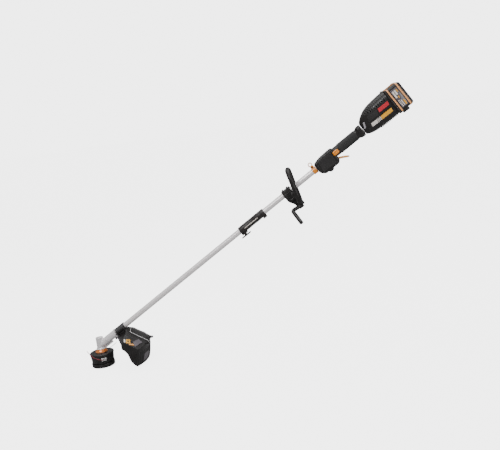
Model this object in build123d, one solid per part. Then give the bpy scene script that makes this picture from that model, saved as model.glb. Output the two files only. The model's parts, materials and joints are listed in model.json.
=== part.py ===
from build123d import *
import math
import os

# Battery string trimmer with a split shaft, a loop handle and two battery packs side by side.
# Frame: +Z is the spin axis of the cutting head, the origin is the middle of the bump knob's
# underside, +X runs rearward to the user and +Y is the operator's right. Millimetres.
# Shaft parts are drawn in a shaft frame: X along the shaft from the gear centre, Z square to it
# and upward, Y as in the main frame. on_shaft() puts them in place.

# ---- driving dimensions ----
SHAFT_ANGLE = 32.0        # shaft above the cutting plane, degrees
GEAR_CENTRE_Z = 101.0     # where the shaft axis meets the spin axis
TUBE_R = 12.7             # outside radius of both shaft tubes
TUBE_WALL = 1.5
SLIDE_GAP = 0.05          # radial clearance of a running fit
AIR_GAP = 0.4             # gap between parts that move past each other
DRIVE_R = 4.0             # solid drive shaft inside the tubes
GEAR_TEETH = 12
GEAR_PITCH_R = 9.7
GEAR_CONE_H = 17.5        # from the gear centre to the large end of each bevel gear
HEAD_R = 57.0             # top rim of the spool housing
BUMP_TRAVEL = 6.0
LINE_R = 1.2              # 2.4 mm nylon line
LOWER_TUBE_END = 935.0
UPPER_TUBE_START = 940.0
UPPER_TUBE_END = 1580.0
COUPLER_START = 861.0
COUPLER_END = 1002.0
KNOB_S = 872.5            # clamp knob, along the shaft
HANDLE_START = 1115.0
HANDLE_END = 1160.0
STRAP_START = 1284.0
STRAP_END = 1303.0
GRIP_START = 1405.0
GRIP_END = 1566.0
MOTOR_START = 1568.0
MOTOR_END = 1728.0
DOCK_BACK = 1736.0
BATTERY_BACK = 1804.0
BATTERY_W = 74.0
BATTERY_LOW = -36.0
BATTERY_TOP = 77.0
GUARD_HALF_W = 112.0
GUARD_WALL = 3.2
GUARD_RIM_Z = 15.0

TUBE_BORE_R = TUBE_R - TUBE_WALL


# ---- helpers ----
def on_shaft(shape):
    """Moves a shape from the shaft frame into the main frame."""
    return Pos(0, 0, GEAR_CENTRE_Z) * Rot(0, -SHAFT_ANGLE, 0) * shape


def block(x0, x1, y0, y1, z0, z1):
    centre = Pos((x0 + x1) / 2, (y0 + y1) / 2, (z0 + z1) / 2)
    return centre * Box(x1 - x0, y1 - y0, z1 - z0)


def rod_x(radius, x0, x1, y=0, z=0):
    return Pos((x0 + x1) / 2, y, z) * Rot(0, 90, 0) * Cylinder(radius, x1 - x0)


def rod_y(radius, y0, y1, x=0, z=0):
    return Pos(x, (y0 + y1) / 2, z) * Rot(90, 0, 0) * Cylinder(radius, y1 - y0)


def rod_z(radius, z0, z1, x=0, y=0):
    return Pos(x, y, (z0 + z1) / 2) * Cylinder(radius, z1 - z0)


def ring_x(outer, inner, x0, x1):
    return rod_x(outer, x0, x1) - rod_x(inner, x0, x1)


def ring_z(outer, inner, z0, z1):
    return rod_z(outer, z0, z1) - rod_z(inner, z0, z1)


def side_prism(points, y0, y1):
    """A prism whose outline is given as (x, z) and which spans y0 to y1."""
    outline = make_face(Polyline(*[(x, 0, z) for x, z in points], close=True).edges())
    return Pos(0, y1, 0) * extrude(outline, amount=y1 - y0, dir=(0, -1, 0))


def plan_prism(points, z0, z1):
    outline = make_face(Polyline(*[(x, y, 0) for x, y in points], close=True).edges())
    return Pos(0, 0, z0) * extrude(outline, amount=z1 - z0, dir=(0, 0, 1))


def end_prism(points, x0, x1):
    """A prism whose outline is given as (y, z) and which spans x0 to x1."""
    outline = make_face(Polyline(*[(0, y, z) for y, z in points], close=True).edges())
    return Pos(x0, 0, 0) * extrude(outline, amount=x1 - x0, dir=(1, 0, 0))


def mirrored(points):
    """An outline given for +y only, closed by its mirror image."""
    return points + [(x, -y) for x, y in reversed(points)]


def round_bar(points, radius, radii):
    path = FilletPolyline(*points, radius=radii)
    section = Plane(origin=path @ 0, z_dir=path % 0) * Circle(radius)
    return sweep(section, path=path)


def bend_radii(points):
    """The largest tidy arc at each corner of a route of straight runs."""
    radii = []
    for before, corner, after in zip(points, points[1:], points[2:]):
        run_in = Vector(*corner) - Vector(*before)
        run_out = Vector(*after) - Vector(*corner)
        turn = math.radians(run_in.get_angle(run_out))
        radii.append(0.45 * min(run_in.length, run_out.length) / math.tan(turn / 2))
    return radii


def bevel_gear(phase):
    """A bevel gear on +Z with its apex at the origin; phase turns its first tooth from +X."""
    scale_small = 0.6
    tip_r = GEAR_PITCH_R + 1.3
    root_r = GEAR_PITCH_R - 1.7
    pitch = 360 / GEAR_TEETH
    root_half = 0.30 * pitch
    tip_half = 0.15 * pitch
    outline = []
    for tooth in range(GEAR_TEETH):
        middle = phase + tooth * pitch
        corners = ((root_r, -root_half), (tip_r, -tip_half), (tip_r, tip_half), (root_r, root_half))
        for radius, offset in corners:
            angle = math.radians(middle + offset)
            outline.append((radius * math.cos(angle), radius * math.sin(angle)))
    large = make_face(Polyline(*[(x, y, GEAR_CONE_H) for x, y in outline], close=True).edges())
    small_points = [(x * scale_small, y * scale_small, GEAR_CONE_H * scale_small) for x, y in outline]
    small = make_face(Polyline(*small_points, close=True).edges())
    return loft([small, large], ruled=True)


def save(name, shape):
    export_step(shape, "parts/" + name + ".step")


def save_on_shaft(name, shape):
    save(name, on_shaft(shape))


# ---- cutting head, about the spin axis ----
EYELET_Z = 46.0
EYELET_ANGLE = -67.8


EYELET_HALF_W = 11.5
EYELET_HALF_H = 6.5


def eyelet_frame(side):
    """Side 0 is the front eyelet, side 1 the one opposite."""
    return Rot(0, 0, EYELET_ANGLE + 180 * side)


def make_head():
    shell = revolve(make_face(Polyline(
        (5.0, 0, 71), (HEAD_R, 0, 71), (HEAD_R, 0, 66), (50, 0, 27), (50, 0, 25), (47.3, 0, 25),
        (47.3, 0, 28), (53.5, 0, 67), (14, 0, 67), (14, 0, 45), (11, 0, 45), (11, 0, 67), (5.0, 0, 67),
        close=True).edges()), Axis.Z)
    eyelets = []
    wide = EYELET_HALF_W
    tall = EYELET_HALF_H
    for side in (0, 1):
        shell -= eyelet_frame(side) * block(40, 62, -wide, wide, EYELET_Z - tall, EYELET_Z + tall)
        body = block(48, 58.5, -wide, wide, EYELET_Z - tall, EYELET_Z + tall)
        eyelets.append(eyelet_frame(side) * (body - rod_x(2.6, 40, 62, z=EYELET_Z)))
    save("spool_housing", shell)
    save("line_eyelets", Compound(children=eyelets))

    collar = revolve(make_face(Polyline(
        (5.0, 0, 71), (28.5, 0, 71), (28.5, 0, 74.5), (22, 0, 84), (18.5, 0, 84), (18.5, 0, 77),
        (5.0, 0, 77), close=True).edges()), Axis.Z)
    save("head_collar", collar)
    save("arbor_nut", ring_z(11, 4, 46, 67))
    cover = revolve(make_face(Polyline(
        (35.5, 0, 3), (49, 0, 3), (54.5, 0, 8), (54.5, 0, 22), (47, 0, 22), (47, 0, 30), (44.5, 0, 30),
        (44.5, 0, 19), (51.5, 0, 19), (51.5, 0, 9), (48, 0, 6), (35.5, 0, 6),
        close=True).edges()), Axis.Z)
    save("spool_cover", cover)
    knob = revolve(make_face(Polyline(
        (0, 0, 0), (26, 0, 0), (34, 0, 4), (34.6, 0, 9), (17, 0, 10), (17, 0, 14), (0, 0, 14),
        close=True).edges()), Axis.Z)
    save("bump_knob", knob)
    spool = rod_z(20, 14, 52) - rod_z(16, 17, 53)
    for low in (14, 32, 50):
        spool += ring_z(43, 19, low, low + 2)
    save("spool", spool)
    winding = [ring_z(38, 20, 16, 32), ring_z(36, 20, 34, 50)]
    save("wound_line", Compound(children=winding))
    # The coil's envelope, from the spool's floor to the housing's boss.
    save("bump_spring", ring_z(13.5, 11.2, 17.2, 44.8))


def make_lines():
    angle = math.radians(EYELET_ANGLE)
    inner = (46 * math.cos(angle), 46 * math.sin(angle), EYELET_Z)
    outer = (62 * math.cos(angle), 62 * math.sin(angle), EYELET_Z)
    front = [inner, outer, (17, -72, 50), (-10, -78, 62), (-32, -76, 82), (-46, -70, 101)]
    back = [(-x, -y, z) for x, y, z in front[:3]] + [(14, 80, 58), (42, 73, 72), (62, 56, 90)]
    for name, route in (("cutting_line_front", front), ("cutting_line_back", back)):
        radii = bend_radii(route)
        print(name, "bend radii", [round(radius, 1) for radius in radii])
        save(name, round_bar(route, LINE_R, radii))


# ---- angle gearbox ----
def make_gearbox():
    casting = rod_z(17.5, 78, 140)
    casting += Pos(0, 0, 89) * Cone(22, 17.5, 7)
    casting += on_shaft(rod_x(17.5, 0, 100))
    casting += on_shaft(block(80, 94, -9, 9, -26, -10))
    casting -= rod_z(13, 70, 87)
    casting -= rod_z(12.6, 86, 126)
    casting -= rod_z(11, 125, 133)
    casting -= on_shaft(rod_x(12, 0, 26))
    casting -= on_shaft(rod_x(13, 26, 46))
    casting -= on_shaft(rod_x(11.5, 45, 51))
    casting -= on_shaft(rod_x(TUBE_R, 50, 101))
    casting -= on_shaft(block(76, 101, -1, 1, -27, -10))
    casting -= on_shaft(rod_y(2.5, -10, 10, x=87, z=-21.5))
    save("gearbox_housing", casting)

    screw = rod_y(4.2, -13, -9, x=87, z=-21.5) - rod_y(2.0, -13.5, -10.5, x=87, z=-21.5)
    save_on_shaft("gearbox_clamp_screw", screw + rod_y(2.5, -9, 12, x=87, z=-21.5))

    output = rod_z(5, 67, 100) + rod_z(4, 46, 132.5)
    save("output_shaft", output)
    gear = Pos(0, 0, GEAR_CENTRE_Z) * (bevel_gear(0) + rod_z(6, GEAR_CONE_H, 24))
    save("bevel_gear", gear - rod_z(4, 100, 130))
    # The pinion's gap faces the gear's first tooth, so it is turned by half a pitch.
    pinion = bevel_gear(180 + 180 / GEAR_TEETH) + rod_z(6, GEAR_CONE_H, 26)
    pinion = Rot(0, 90, 0) * pinion
    pinion += rod_x(5, 25, 48) + rod_x(6.5, 48, 66)
    pinion -= block(50, 67, -2.8, 2.8, -2.8, 2.8)
    save_on_shaft("pinion", pinion)
    bearings = [ring_z(13, 5 + SLIDE_GAP, 79, 87), ring_z(11, 4 + SLIDE_GAP, 126, 133)]
    bearings += [on_shaft(ring_x(13, 5 + SLIDE_GAP, low, low + 8)) for low in (27, 38)]
    save("gearbox_bearings", Compound(children=bearings))


# ---- guard ----
GUARD_FALL = 0.36         # how steeply the deck drops toward each side


def guard_roof(deck, half):
    """Everything under the deck line, which drops toward both sides."""
    middle = 10
    outline = make_face(Polyline(*[(x, 0, z) for x, z in deck], close=True).edges())
    roof = Pos(0, middle, 0) * extrude(outline, amount=2 * middle, dir=(0, -1, 0))
    slope = math.hypot(1, GUARD_FALL)
    for side in (-1, 1):
        along = (0, side / slope, -GUARD_FALL / slope)
        roof += Pos(0, side * middle, 0) * extrude(outline, amount=(half - middle) * slope, dir=along)
    return roof


def guard_solid(inset):
    """The hood's outer form, or with an inset the space inside it, open below and in front."""
    drop = 40 if inset else 0
    reach = 60 if inset else 0
    half = GUARD_HALF_W - inset
    low = GUARD_RIM_Z - drop
    sink = inset * 1.22
    deck = [(96 - reach, 145.5 - reach * 0.62 - sink), (142, 173 - sink), (226, 118 - sink),
            (240, 92 - sink), (240, low)]
    side_front = [(200, low), (185, 19), (176, 28), (165, 43), (155, 79), (140, 98), (96, 122)]
    side = deck + ([(96 - reach, low)] if inset else side_front)
    roof = guard_roof(deck[:4] + [(240, -200), (96 - reach, -200)], half)
    plan = mirrored([(96 - reach, 34), (129 - reach, half), (240, half)])
    tall = 200 - low
    slope = 0.2
    bottom_r = 219 - slope * drop - inset
    rear = Pos(0, 0, low + tall / 2) * Cone(bottom_r, bottom_r + slope * tall, tall)
    return side_prism(side, -half, half) & roof & plan_prism(plan, low, 200) & rear


GUIDE_PIVOT = (240.0, 100.0)   # x and z of the wire guide's pivot
GUIDE_HALF_W = 34.0
GUIDE_WIRE_R = 1.5


def make_guard():
    shield = guard_solid(0) - guard_solid(GUARD_WALL)
    saddle = on_shaft(ring_x(17, TUBE_R, 104, 156) & block(104, 156, -18, 18, -18, -0.5))
    ears = on_shaft(block(106, 154, -28, -14, -8.5, -0.5) + block(106, 154, 14, 28, -8.5, -0.5))
    webs = on_shaft(block(108, 152, -24, -16, -20, -8) + block(108, 152, 16, 24, -20, -8))
    keel = on_shaft(block(108, 152, -10, 10, -20, -14))
    shield += saddle + ears + webs + keel
    for side in (-1, 1):
        lug_y = sorted((side * (GUIDE_HALF_W + 4), side * (GUIDE_HALF_W + 14)))
        lug = rod_y(5, lug_y[0], lug_y[1], x=GUIDE_PIVOT[0], z=GUIDE_PIVOT[1])
        lug += block(224, GUIDE_PIVOT[0], lug_y[0], lug_y[1], GUIDE_PIVOT[1] - 5, GUIDE_PIVOT[1] + 5)
        bore_r = GUIDE_WIRE_R + SLIDE_GAP
        lug -= rod_y(bore_r, lug_y[0] - 1, lug_y[1] + 1, x=GUIDE_PIVOT[0], z=GUIDE_PIVOT[1])
        shield += lug
    for side in (-1, 1):
        for s in (116, 144):
            shield -= on_shaft(rod_z(2.5, -30, 0, x=s, y=side * 22))
    shield -= on_shaft(rod_x(TUBE_R, 90, 170))
    shield -= on_shaft(rod_x(17.9, 60, 103.5))
    save("guard_shield", shield)

    bracket = on_shaft(ring_x(17, TUBE_R, 104, 156) & block(104, 156, -18, 18, 0.5, 18))
    bracket += on_shaft(block(106, 154, -28, -14, 0.5, 5) + block(106, 154, 14, 28, 0.5, 5))
    bracket -= on_shaft(rod_x(TUBE_R, 90, 170))
    screws = []
    for side in (-1, 1):
        for s in (116, 144):
            bracket -= on_shaft(rod_z(2.5, 0, 6, x=s, y=side * 22))
            screw = rod_z(4.2, 5, 8.5, x=s, y=side * 22) + rod_z(2.5, -12, 5, x=s, y=side * 22)
            screws.append(on_shaft(screw - rod_z(1.8, 7, 9, x=s, y=side * 22)))
    save("guard_bracket", bracket)
    save("guard_screws", Compound(children=screws))

    wall = GUARD_HALF_W - GUARD_WALL
    blade = block(160, 184, wall - 2, wall, 20, 42)
    blade -= side_prism([(158, 19), (168, 19), (158, 32)], wall - 3, wall + 1)
    save("line_cutter", blade)

    px, pz = GUIDE_PIVOT
    half = GUIDE_HALF_W
    route = [(px, -half - 12, pz), (px, -half, pz), (px - 3, -half, pz + 8), (159.5, -half, 158),
             (159.5, -12, 167), (159.5, 12, 167),
             (159.5, half, 158), (px - 3, half, pz + 8), (px, half, pz), (px, half + 12, pz)]
    save("edge_guide_wire", round_bar(route, GUIDE_WIRE_R, [3, 8, 8, 8, 8, 8, 8, 3]))


# ---- tubes and drive shafts ----
def make_tubes():
    lower = ring_x(TUBE_R, TUBE_BORE_R, 51, LOWER_TUBE_END)
    upper = ring_x(TUBE_R, TUBE_BORE_R, UPPER_TUBE_START, UPPER_TUBE_END)
    save_on_shaft("lower_tube", lower)
    save_on_shaft("upper_tube", upper)

    square = 2.5
    lower_drive = rod_x(DRIVE_R, 66, 912) + block(50, 66, -square, square, -square, square)
    lower_drive += block(912, 936, -square, square, -square, square)
    save_on_shaft("lower_drive_shaft", lower_drive)
    upper_drive = rod_x(DRIVE_R, 962, 1596) + rod_x(7, 914, 962)
    upper_drive -= block(913, 950, -square - 0.4, square + 0.4, -square - 0.4, square + 0.4)
    save_on_shaft("upper_drive_shaft", upper_drive)

    bush_half = 8
    for name, places in (("lower_shaft_bushes", (180, 420, 660)),
                         ("upper_shaft_bushes", (1060, 1240, 1500))):
        bushes = [ring_x(TUBE_BORE_R, DRIVE_R + SLIDE_GAP, s - bush_half, s + bush_half) for s in places]
        save_on_shaft(name, Compound(children=bushes))


# ---- shaft coupler ----
BUTTON_S = 905.0


def make_coupler():
    housing = rod_x(17.5, COUPLER_START, COUPLER_END)
    housing += block(COUPLER_END - 18, COUPLER_END, -9, 9, -25, -12)
    housing += block(858, 888, -8, 8, -24, -12)
    housing += rod_y(9, 10, 20, x=BUTTON_S)
    housing -= rod_x(TUBE_R + SLIDE_GAP, COUPLER_START - 5, UPPER_TUBE_START - 2)
    housing -= rod_x(TUBE_R, UPPER_TUBE_START - 2, COUPLER_END + 1)
    housing -= block(867, 878, -9, 9, -21, -16)
    housing -= rod_z(3 + SLIDE_GAP, -30, -10, x=KNOB_S)
    housing -= rod_y(5 + SLIDE_GAP, 13, 21, x=BUTTON_S)
    save_on_shaft("coupler_housing", housing)

    knob = rod_z(7, -35, -24.5, x=KNOB_S) + block(846, 899, -4.5, 4.5, -35, -28)
    knob += rod_z(3, -24.5, -13.2, x=KNOB_S)
    save_on_shaft("clamp_knob", knob)
    nut = block(867.5, 877.5, -5, 5, -21, -16) - rod_z(3 + SLIDE_GAP, -22, -15, x=KNOB_S)
    save_on_shaft("clamp_nut", nut)

    save_on_shaft("release_button", rod_y(5, 17.6, 22.5, x=BUTTON_S))
    # The coil at its pressed length, on the tube side of the button.
    spring = rod_y(4, 13.2, 14.4, x=BUTTON_S) - rod_y(3, 13, 15, x=BUTTON_S)
    save_on_shaft("release_spring", spring)


# ---- loop handle ----
LOOP_TILT = 17.5          # the loop's top leans toward the user
LOOP_CENTRE_S = 1178.0
LOOP_R = 11.5
BAR_R = 9.0               # barrier bar


def loop_frame():
    return Pos(LOOP_CENTRE_S, 0, 1.5) * Rot(0, LOOP_TILT, 0)


def make_loop_handle():
    high = 78.0
    wide = 58.0
    corner = 46.0
    outline = [(0, wide, high), (0, wide, -high), (0, -wide, -high), (0, -wide, high)]
    path = FilletPolyline(*outline, radius=corner, close=True)
    section = Plane(origin=path @ 0, z_dir=path % 0) * Circle(LOOP_R)
    loop = loop_frame() * sweep(section, path=path)
    base = side_prism([(HANDLE_START, -0.5), (HANDLE_START, -32), (1121, -46), (HANDLE_END, -46),
                       (HANDLE_END, -0.5)], -20, 20)
    base += side_prism([(1119, -40), (1131, -64), (1131, -84), (1168, -84), (1168, -40)], -16, 16)
    base += block(1148, 1172, -54, 54, -34, -12)
    handle = loop + base
    handle -= rod_x(TUBE_R, HANDLE_START - 5, 1161)
    handle -= rod_x(TUBE_R + 1, HANDLE_END, 1230)
    cap = block(HANDLE_START, HANDLE_END, -20, 20, 0.5, 19)
    cap -= rod_x(TUBE_R, HANDLE_START - 1, HANDLE_END + 1)
    screws = []
    for side in (-1, 1):
        for s in (HANDLE_START + 10, HANDLE_END - 12):
            hole = rod_z(2.5, -30, 20, x=s, y=side * 16.2)
            handle -= hole
            cap -= hole
            screw = rod_z(3.8, 19, 22.5, x=s, y=side * 16.2) + rod_z(2.5, -28, 19, x=s, y=side * 16.2)
            screws.append(screw - rod_z(1.6, 21, 23, x=s, y=side * 16.2))
    bar_route = [(1150, -30, -80), (1107, -46, -73), (1111, -118, -130)]
    bar = round_bar(bar_route, BAR_R, [12])
    bar += block(1139, 1161, -40, -20, -90, -70)
    handle -= block(1138.9, 1161.1, -40.1, -19.9, -90.1, -69.9)
    handle -= round_bar(bar_route, BAR_R + 0.1, [12])
    boss_hole = rod_z(3, -100, -60, x=1150, y=-30)
    bar -= boss_hole
    save_on_shaft("loop_handle", handle)
    save_on_shaft("handle_clamp_cap", cap)
    save_on_shaft("handle_screws", Compound(children=screws))
    save_on_shaft("barrier_bar", bar)


# ---- strap clamp ----
EYE_S = 1292.5
EYE_N = 32.0


def make_strap_clamp():
    clamp = ring_x(16, TUBE_R, STRAP_START, STRAP_END)
    clamp += block(STRAP_START + 2, STRAP_END - 2, -6, 6, 14, 24)
    clamp += rod_y(10, -3, 3, x=EYE_S, z=EYE_N)
    clamp -= rod_y(6, -5, 5, x=EYE_S, z=EYE_N)
    clamp -= rod_x(TUBE_R, STRAP_START - 1, STRAP_END + 1)
    clamp -= block(STRAP_START - 1, STRAP_END + 1, -0.8, 0.8, 10, 22)
    clamp -= rod_y(2, -7, 7, x=EYE_S, z=18.6)
    save_on_shaft("strap_clamp", clamp)
    screw = rod_y(2, -6, 8, x=EYE_S, z=18.6) + rod_y(3.5, -9, -6, x=EYE_S, z=18.6)
    save_on_shaft("strap_clamp_screw", screw)


# ---- controls ----
DIAL_S = 1353.5
DIAL_N = -36.0
DIAL_R = 16.8
TRIGGER_S = 1402.0
TRIGGER_N = -22.0
LOCK_S = (1400.0, 1430.0)
LOCK_N = (-6.0, 14.0)


def make_controls():
    box = side_prism([(1304, 17), (1312, 25), (1340, 31), (1404, 33), (1410, 26), (1410, -34),
                      (1398, -42), (1327, -43), (1304, -20)], -23, 23)
    grip = block(GRIP_START, 1545, -17, 17, -16, 27)
    grip = fillet(grip.edges().filter_by(Axis.X), 13)
    flange = side_prism([(1534, 27), (1544, 33), (GRIP_END, 33), (GRIP_END, -22), (1544, -22),
                         (1534, -16)], -22, 22)
    outer = box + grip + flange
    cavity = side_prism([(1308, 15), (1313, 22), (1341, 28), (1404, 30), (1406, 26), (1406, -32),
                         (1397, -39), (1328, -40), (1308, -19)], -20, 20)
    cavity += block(1404, GRIP_END - 4, -9, 9, 13.5, 23)
    outer -= cavity
    outer -= rod_x(TUBE_R, 1300, GRIP_END + 1)
    outer -= block(DIAL_S - 17.6, DIAL_S + 17.6, -4.8, 4.8, -50, -30)
    outer -= block(1396, 1414, -6.5, 6.5, -50, -13.5)
    outer -= block(LOCK_S[0] - AIR_GAP, LOCK_S[1] + AIR_GAP, -24, -13.3,
                   LOCK_N[0] - AIR_GAP, LOCK_N[1] + AIR_GAP)
    for side in (-1, 1):
        boss_y = sorted((side * 10, side * 20))
        outer += rod_y(5, boss_y[0], boss_y[1], x=DIAL_S, z=DIAL_N) & block(1300, 1400, -23, 23, -40, 0)
    outer -= rod_y(2.5 + SLIDE_GAP, -20, 20, x=DIAL_S, z=DIAL_N)
    for side, name in ((-1, "control_housing_left"), (1, "control_housing_right")):
        half_y = sorted((0, side * 60))
        save_on_shaft(name, outer & block(1290, 1600, half_y[0], half_y[1], -60, 60))

    sleeve = block(1436, 1530, -18.5, 18.5, -17.5, 28.5)
    sleeve = fillet(sleeve.edges().filter_by(Axis.X), 14)
    save_on_shaft("grip_sleeve", sleeve - (grip + block(1434, 1532, -5, 5, -10, 20)))

    dial = rod_y(DIAL_R, -4, 4, x=DIAL_S, z=DIAL_N) + rod_y(2.5, -19.6, 19.6, x=DIAL_S, z=DIAL_N)
    save_on_shaft("speed_dial", dial)

    lock = block(LOCK_S[0], LOCK_S[1], -24.4, -17, LOCK_N[0], LOCK_N[1])
    save_on_shaft("lock_off_button", lock)

    lever = side_prism([(1399, -17), (1407, -19), (1420, -25), (1436, -34), (1451, -45), (1449, -50),
                        (1433, -42), (1418, -33), (1406, -27), (1388, -25), (1388, -21)], -5, 5)
    lever += rod_y(5, -5, 5, x=TRIGGER_S, z=TRIGGER_N)
    lever -= rod_y(2 + SLIDE_GAP, -6, 6, x=TRIGGER_S, z=TRIGGER_N)
    save_on_shaft("trigger", lever)
    save_on_shaft("trigger_pin", rod_y(2, -20, 20, x=TRIGGER_S, z=TRIGGER_N))
    spring_ring = rod_y(3.6, 6, 10, x=TRIGGER_S, z=TRIGGER_N) - rod_y(2, 5, 11, x=TRIGGER_S, z=TRIGGER_N)
    save_on_shaft("trigger_spring", spring_ring)
    switch = block(1374, 1395, -9, 9, -39, -31) + block(1379, 1386, -3, 3, -31, -29.6)
    save_on_shaft("switch_module", switch)


# ---- motor housing ----
MOTOR_OUTLINE = [(MOTOR_START, 35), (1587, 49), (1617, 66), (1643, 74), (1677, 78), (MOTOR_END, 81),
                 (MOTOR_END, -38), (1650, -37), (1603, -32), (MOTOR_START, -22)]
MOTOR_PLAN = [(MOTOR_START, 22), (1586, 33), (1612, 45), (1650, 55), (MOTOR_END, 62)]


def motor_solid(inset):
    side = []
    for x, z in MOTOR_OUTLINE:
        inner_x = x + inset if x == MOTOR_START else x
        side.append((inner_x, z - inset if z > 0 else z + inset))
    plan = mirrored([(x + inset if x == MOTOR_START else x, y - inset) for x, y in MOTOR_PLAN])
    half = 62 - inset
    low = -38 + inset
    high = 82 - inset
    cut = 26
    front = [(half, low + cut), (half, high - cut), (half - cut, high), (cut - half, high),
             (-half, high - cut), (-half, low + cut), (cut - half, low), (half - cut, low)]
    solid = side_prism(side, -half, half) & plan_prism(plan, low, high)
    return solid & end_prism(front, MOTOR_START + inset, MOTOR_END)


def make_power_head():
    inner = motor_solid(3)
    shell = motor_solid(0) - inner
    bulkheads = [(1616, 1627), (1707, 1718)]
    for low, high in bulkheads:
        shell += inner & (block(low, high, -70, 70, -50, 30) - rod_x(11, low - 1, high + 1))
    shell += inner & ring_x(17, TUBE_R, MOTOR_START, UPPER_TUBE_END)
    shell -= rod_x(TUBE_R, MOTOR_START - 1, UPPER_TUBE_END)
    for side, name in ((-1, "motor_housing_left"), (1, "motor_housing_right")):
        half_y = sorted((0, side * 90))
        save_on_shaft(name, shell & block(1560, 1740, half_y[0], half_y[1], -60, 100))

    stator = ring_x(30, 17.2, 1642, 1688) + ring_x(26, 20, 1636, 1694)
    save_on_shaft("motor_stator", stator)
    rotor = rod_x(4, 1596, 1716) + rod_x(16.5, 1644, 1686)
    hub = rod_x(8, 1697, 1704)
    blades = ring_x(26, 24.5, 1697, 1704)
    for blade in range(9):
        blades += Rot(blade * 40, 0, 0) * block(1697, 1704, -0.8, 0.8, 7, 25)
    save_on_shaft("motor_rotor_fan", rotor + hub + blades)
    bearings = [ring_x(11, 4 + SLIDE_GAP, low, low + 7) for low in (1619, 1708)]
    save_on_shaft("motor_bearings", Compound(children=bearings))
    board = block(1640, 1704, -34, 34, 44, 46)
    for row in range(3):
        for column in range(2):
            board += block(1648 + row * 18, 1658 + row * 18, -24 + column * 30, -10 + column * 30, 46, 54)
    save_on_shaft("controller_board", board)

    dock = block(MOTOR_END, DOCK_BACK, -76, 76, -38, 81)
    dock = fillet(dock.edges().filter_by(Axis.X), 10)
    for side in (-1, 1):
        middle = side * (BATTERY_W / 2 + 1)
        dock += block(DOCK_BACK, 1739, middle - 10, middle + 10, -26, 70)
        dock += block(1739, 1742, middle - 14, middle + 14, -26, 70)
        for blade in (-1, 0, 1):
            dock += block(1742, 1748, middle + blade * 6 - 0.5, middle + blade * 6 + 0.5, 50, 70)
    save_on_shaft("battery_dock", dock)


def make_batteries():
    front = DOCK_BACK + AIR_GAP
    for side, name in ((-1, "left"), (1, "right")):
        middle = side * (BATTERY_W / 2 + 1)
        half = BATTERY_W / 2
        pack = block(front, BATTERY_BACK, middle - half, middle + half, BATTERY_LOW, BATTERY_TOP)
        back_edges = pack.edges().group_by(Axis.X)[-1]
        pack = fillet(back_edges, 9)
        groove_low = -26 - AIR_GAP
        pack -= block(front - 1, 1739, middle - 10.4, middle + 10.4, groove_low, 90)
        pack -= block(1739 - AIR_GAP, 1742.4, middle - 14.4, middle + 14.4, groove_low, 90)
        pack -= block(1742, 1750, middle - 8, middle + 8, 48, 90)
        pack -= block(1744.6, 1776.4, middle - 12.4, middle + 12.4, -40, -26)
        save_on_shaft("battery_" + name, pack)
        latch = block(1745, 1776, middle - 12, middle + 12, -48, -31)
        save_on_shaft("battery_latch_" + name, latch)


os.makedirs("parts", exist_ok=True)
make_head()
make_lines()
make_gearbox()
make_guard()
make_tubes()
make_coupler()
make_loop_handle()
make_strap_clamp()
make_controls()
make_power_head()
make_batteries()
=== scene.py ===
import json
from math import copysign, cos, pi, radians, sin, sqrt, tau

import bmesh
import bpy
from mathutils import Matrix, Vector
from mathutils.bvhtree import BVHTree

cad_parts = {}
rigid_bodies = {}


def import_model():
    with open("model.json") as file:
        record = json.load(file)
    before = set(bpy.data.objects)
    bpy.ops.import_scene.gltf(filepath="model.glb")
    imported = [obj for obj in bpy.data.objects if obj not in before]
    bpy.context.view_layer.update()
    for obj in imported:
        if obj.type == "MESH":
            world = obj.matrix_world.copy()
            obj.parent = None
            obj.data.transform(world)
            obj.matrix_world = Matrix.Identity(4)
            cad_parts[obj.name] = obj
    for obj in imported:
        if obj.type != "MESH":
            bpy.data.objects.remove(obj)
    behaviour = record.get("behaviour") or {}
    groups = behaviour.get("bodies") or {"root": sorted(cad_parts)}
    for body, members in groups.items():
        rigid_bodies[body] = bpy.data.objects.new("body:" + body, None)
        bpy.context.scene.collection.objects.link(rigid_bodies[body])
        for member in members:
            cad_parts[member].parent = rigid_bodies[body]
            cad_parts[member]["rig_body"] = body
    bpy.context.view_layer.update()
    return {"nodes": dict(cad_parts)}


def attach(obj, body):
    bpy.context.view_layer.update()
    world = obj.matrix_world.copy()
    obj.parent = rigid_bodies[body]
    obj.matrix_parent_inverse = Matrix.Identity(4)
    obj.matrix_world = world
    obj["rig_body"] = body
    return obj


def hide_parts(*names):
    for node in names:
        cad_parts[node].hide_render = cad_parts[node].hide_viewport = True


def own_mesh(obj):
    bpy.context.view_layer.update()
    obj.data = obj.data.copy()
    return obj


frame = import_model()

# The battery string trimmer. Lengths in this script are millimetres until a mesh is placed.
# Shaft parts are drawn in a shaft frame: x along the shaft from the gear centre, y to the
# operator's right, z square to the shaft and upward.
MM = 0.001
SHAFT_ANGLE = radians(32.0)
GEAR_CENTRE_Z = 101.0
MAIN = Matrix.Scale(MM, 4)
SHAFT = MAIN @ Matrix.Translation((0, 0, GEAR_CENTRE_Z)) @ Matrix.Rotation(-SHAFT_ANGLE, 4, "Y")
nodes = frame["nodes"]


# ---- mesh helpers ----
def new_object(name, data):
    made = bpy.data.objects.new(name, data)
    bpy.context.scene.collection.objects.link(made)
    return made


def finish(name, bm, material, body="power_unit", node=None, place=SHAFT, smooth_angle=35, bevel=0.0):
    """Makes a piece from a bmesh in millimetres and hands it to its body."""
    if bevel:
        sharp = [e for e in bm.edges if len(e.link_faces) == 2 and e.calc_face_angle(0) > 0.6]
        bmesh.ops.bevel(bm, geom=sharp, offset=bevel, segments=3, profile=0.7, affect="EDGES",
                        clamp_overlap=True)
    bmesh.ops.recalc_face_normals(bm, faces=bm.faces)
    mesh = bpy.data.meshes.new(name)
    bm.to_mesh(mesh)
    bm.free()
    mesh.transform(place)
    return wrap_mesh(name, mesh, material, body, node, smooth_angle)


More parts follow.
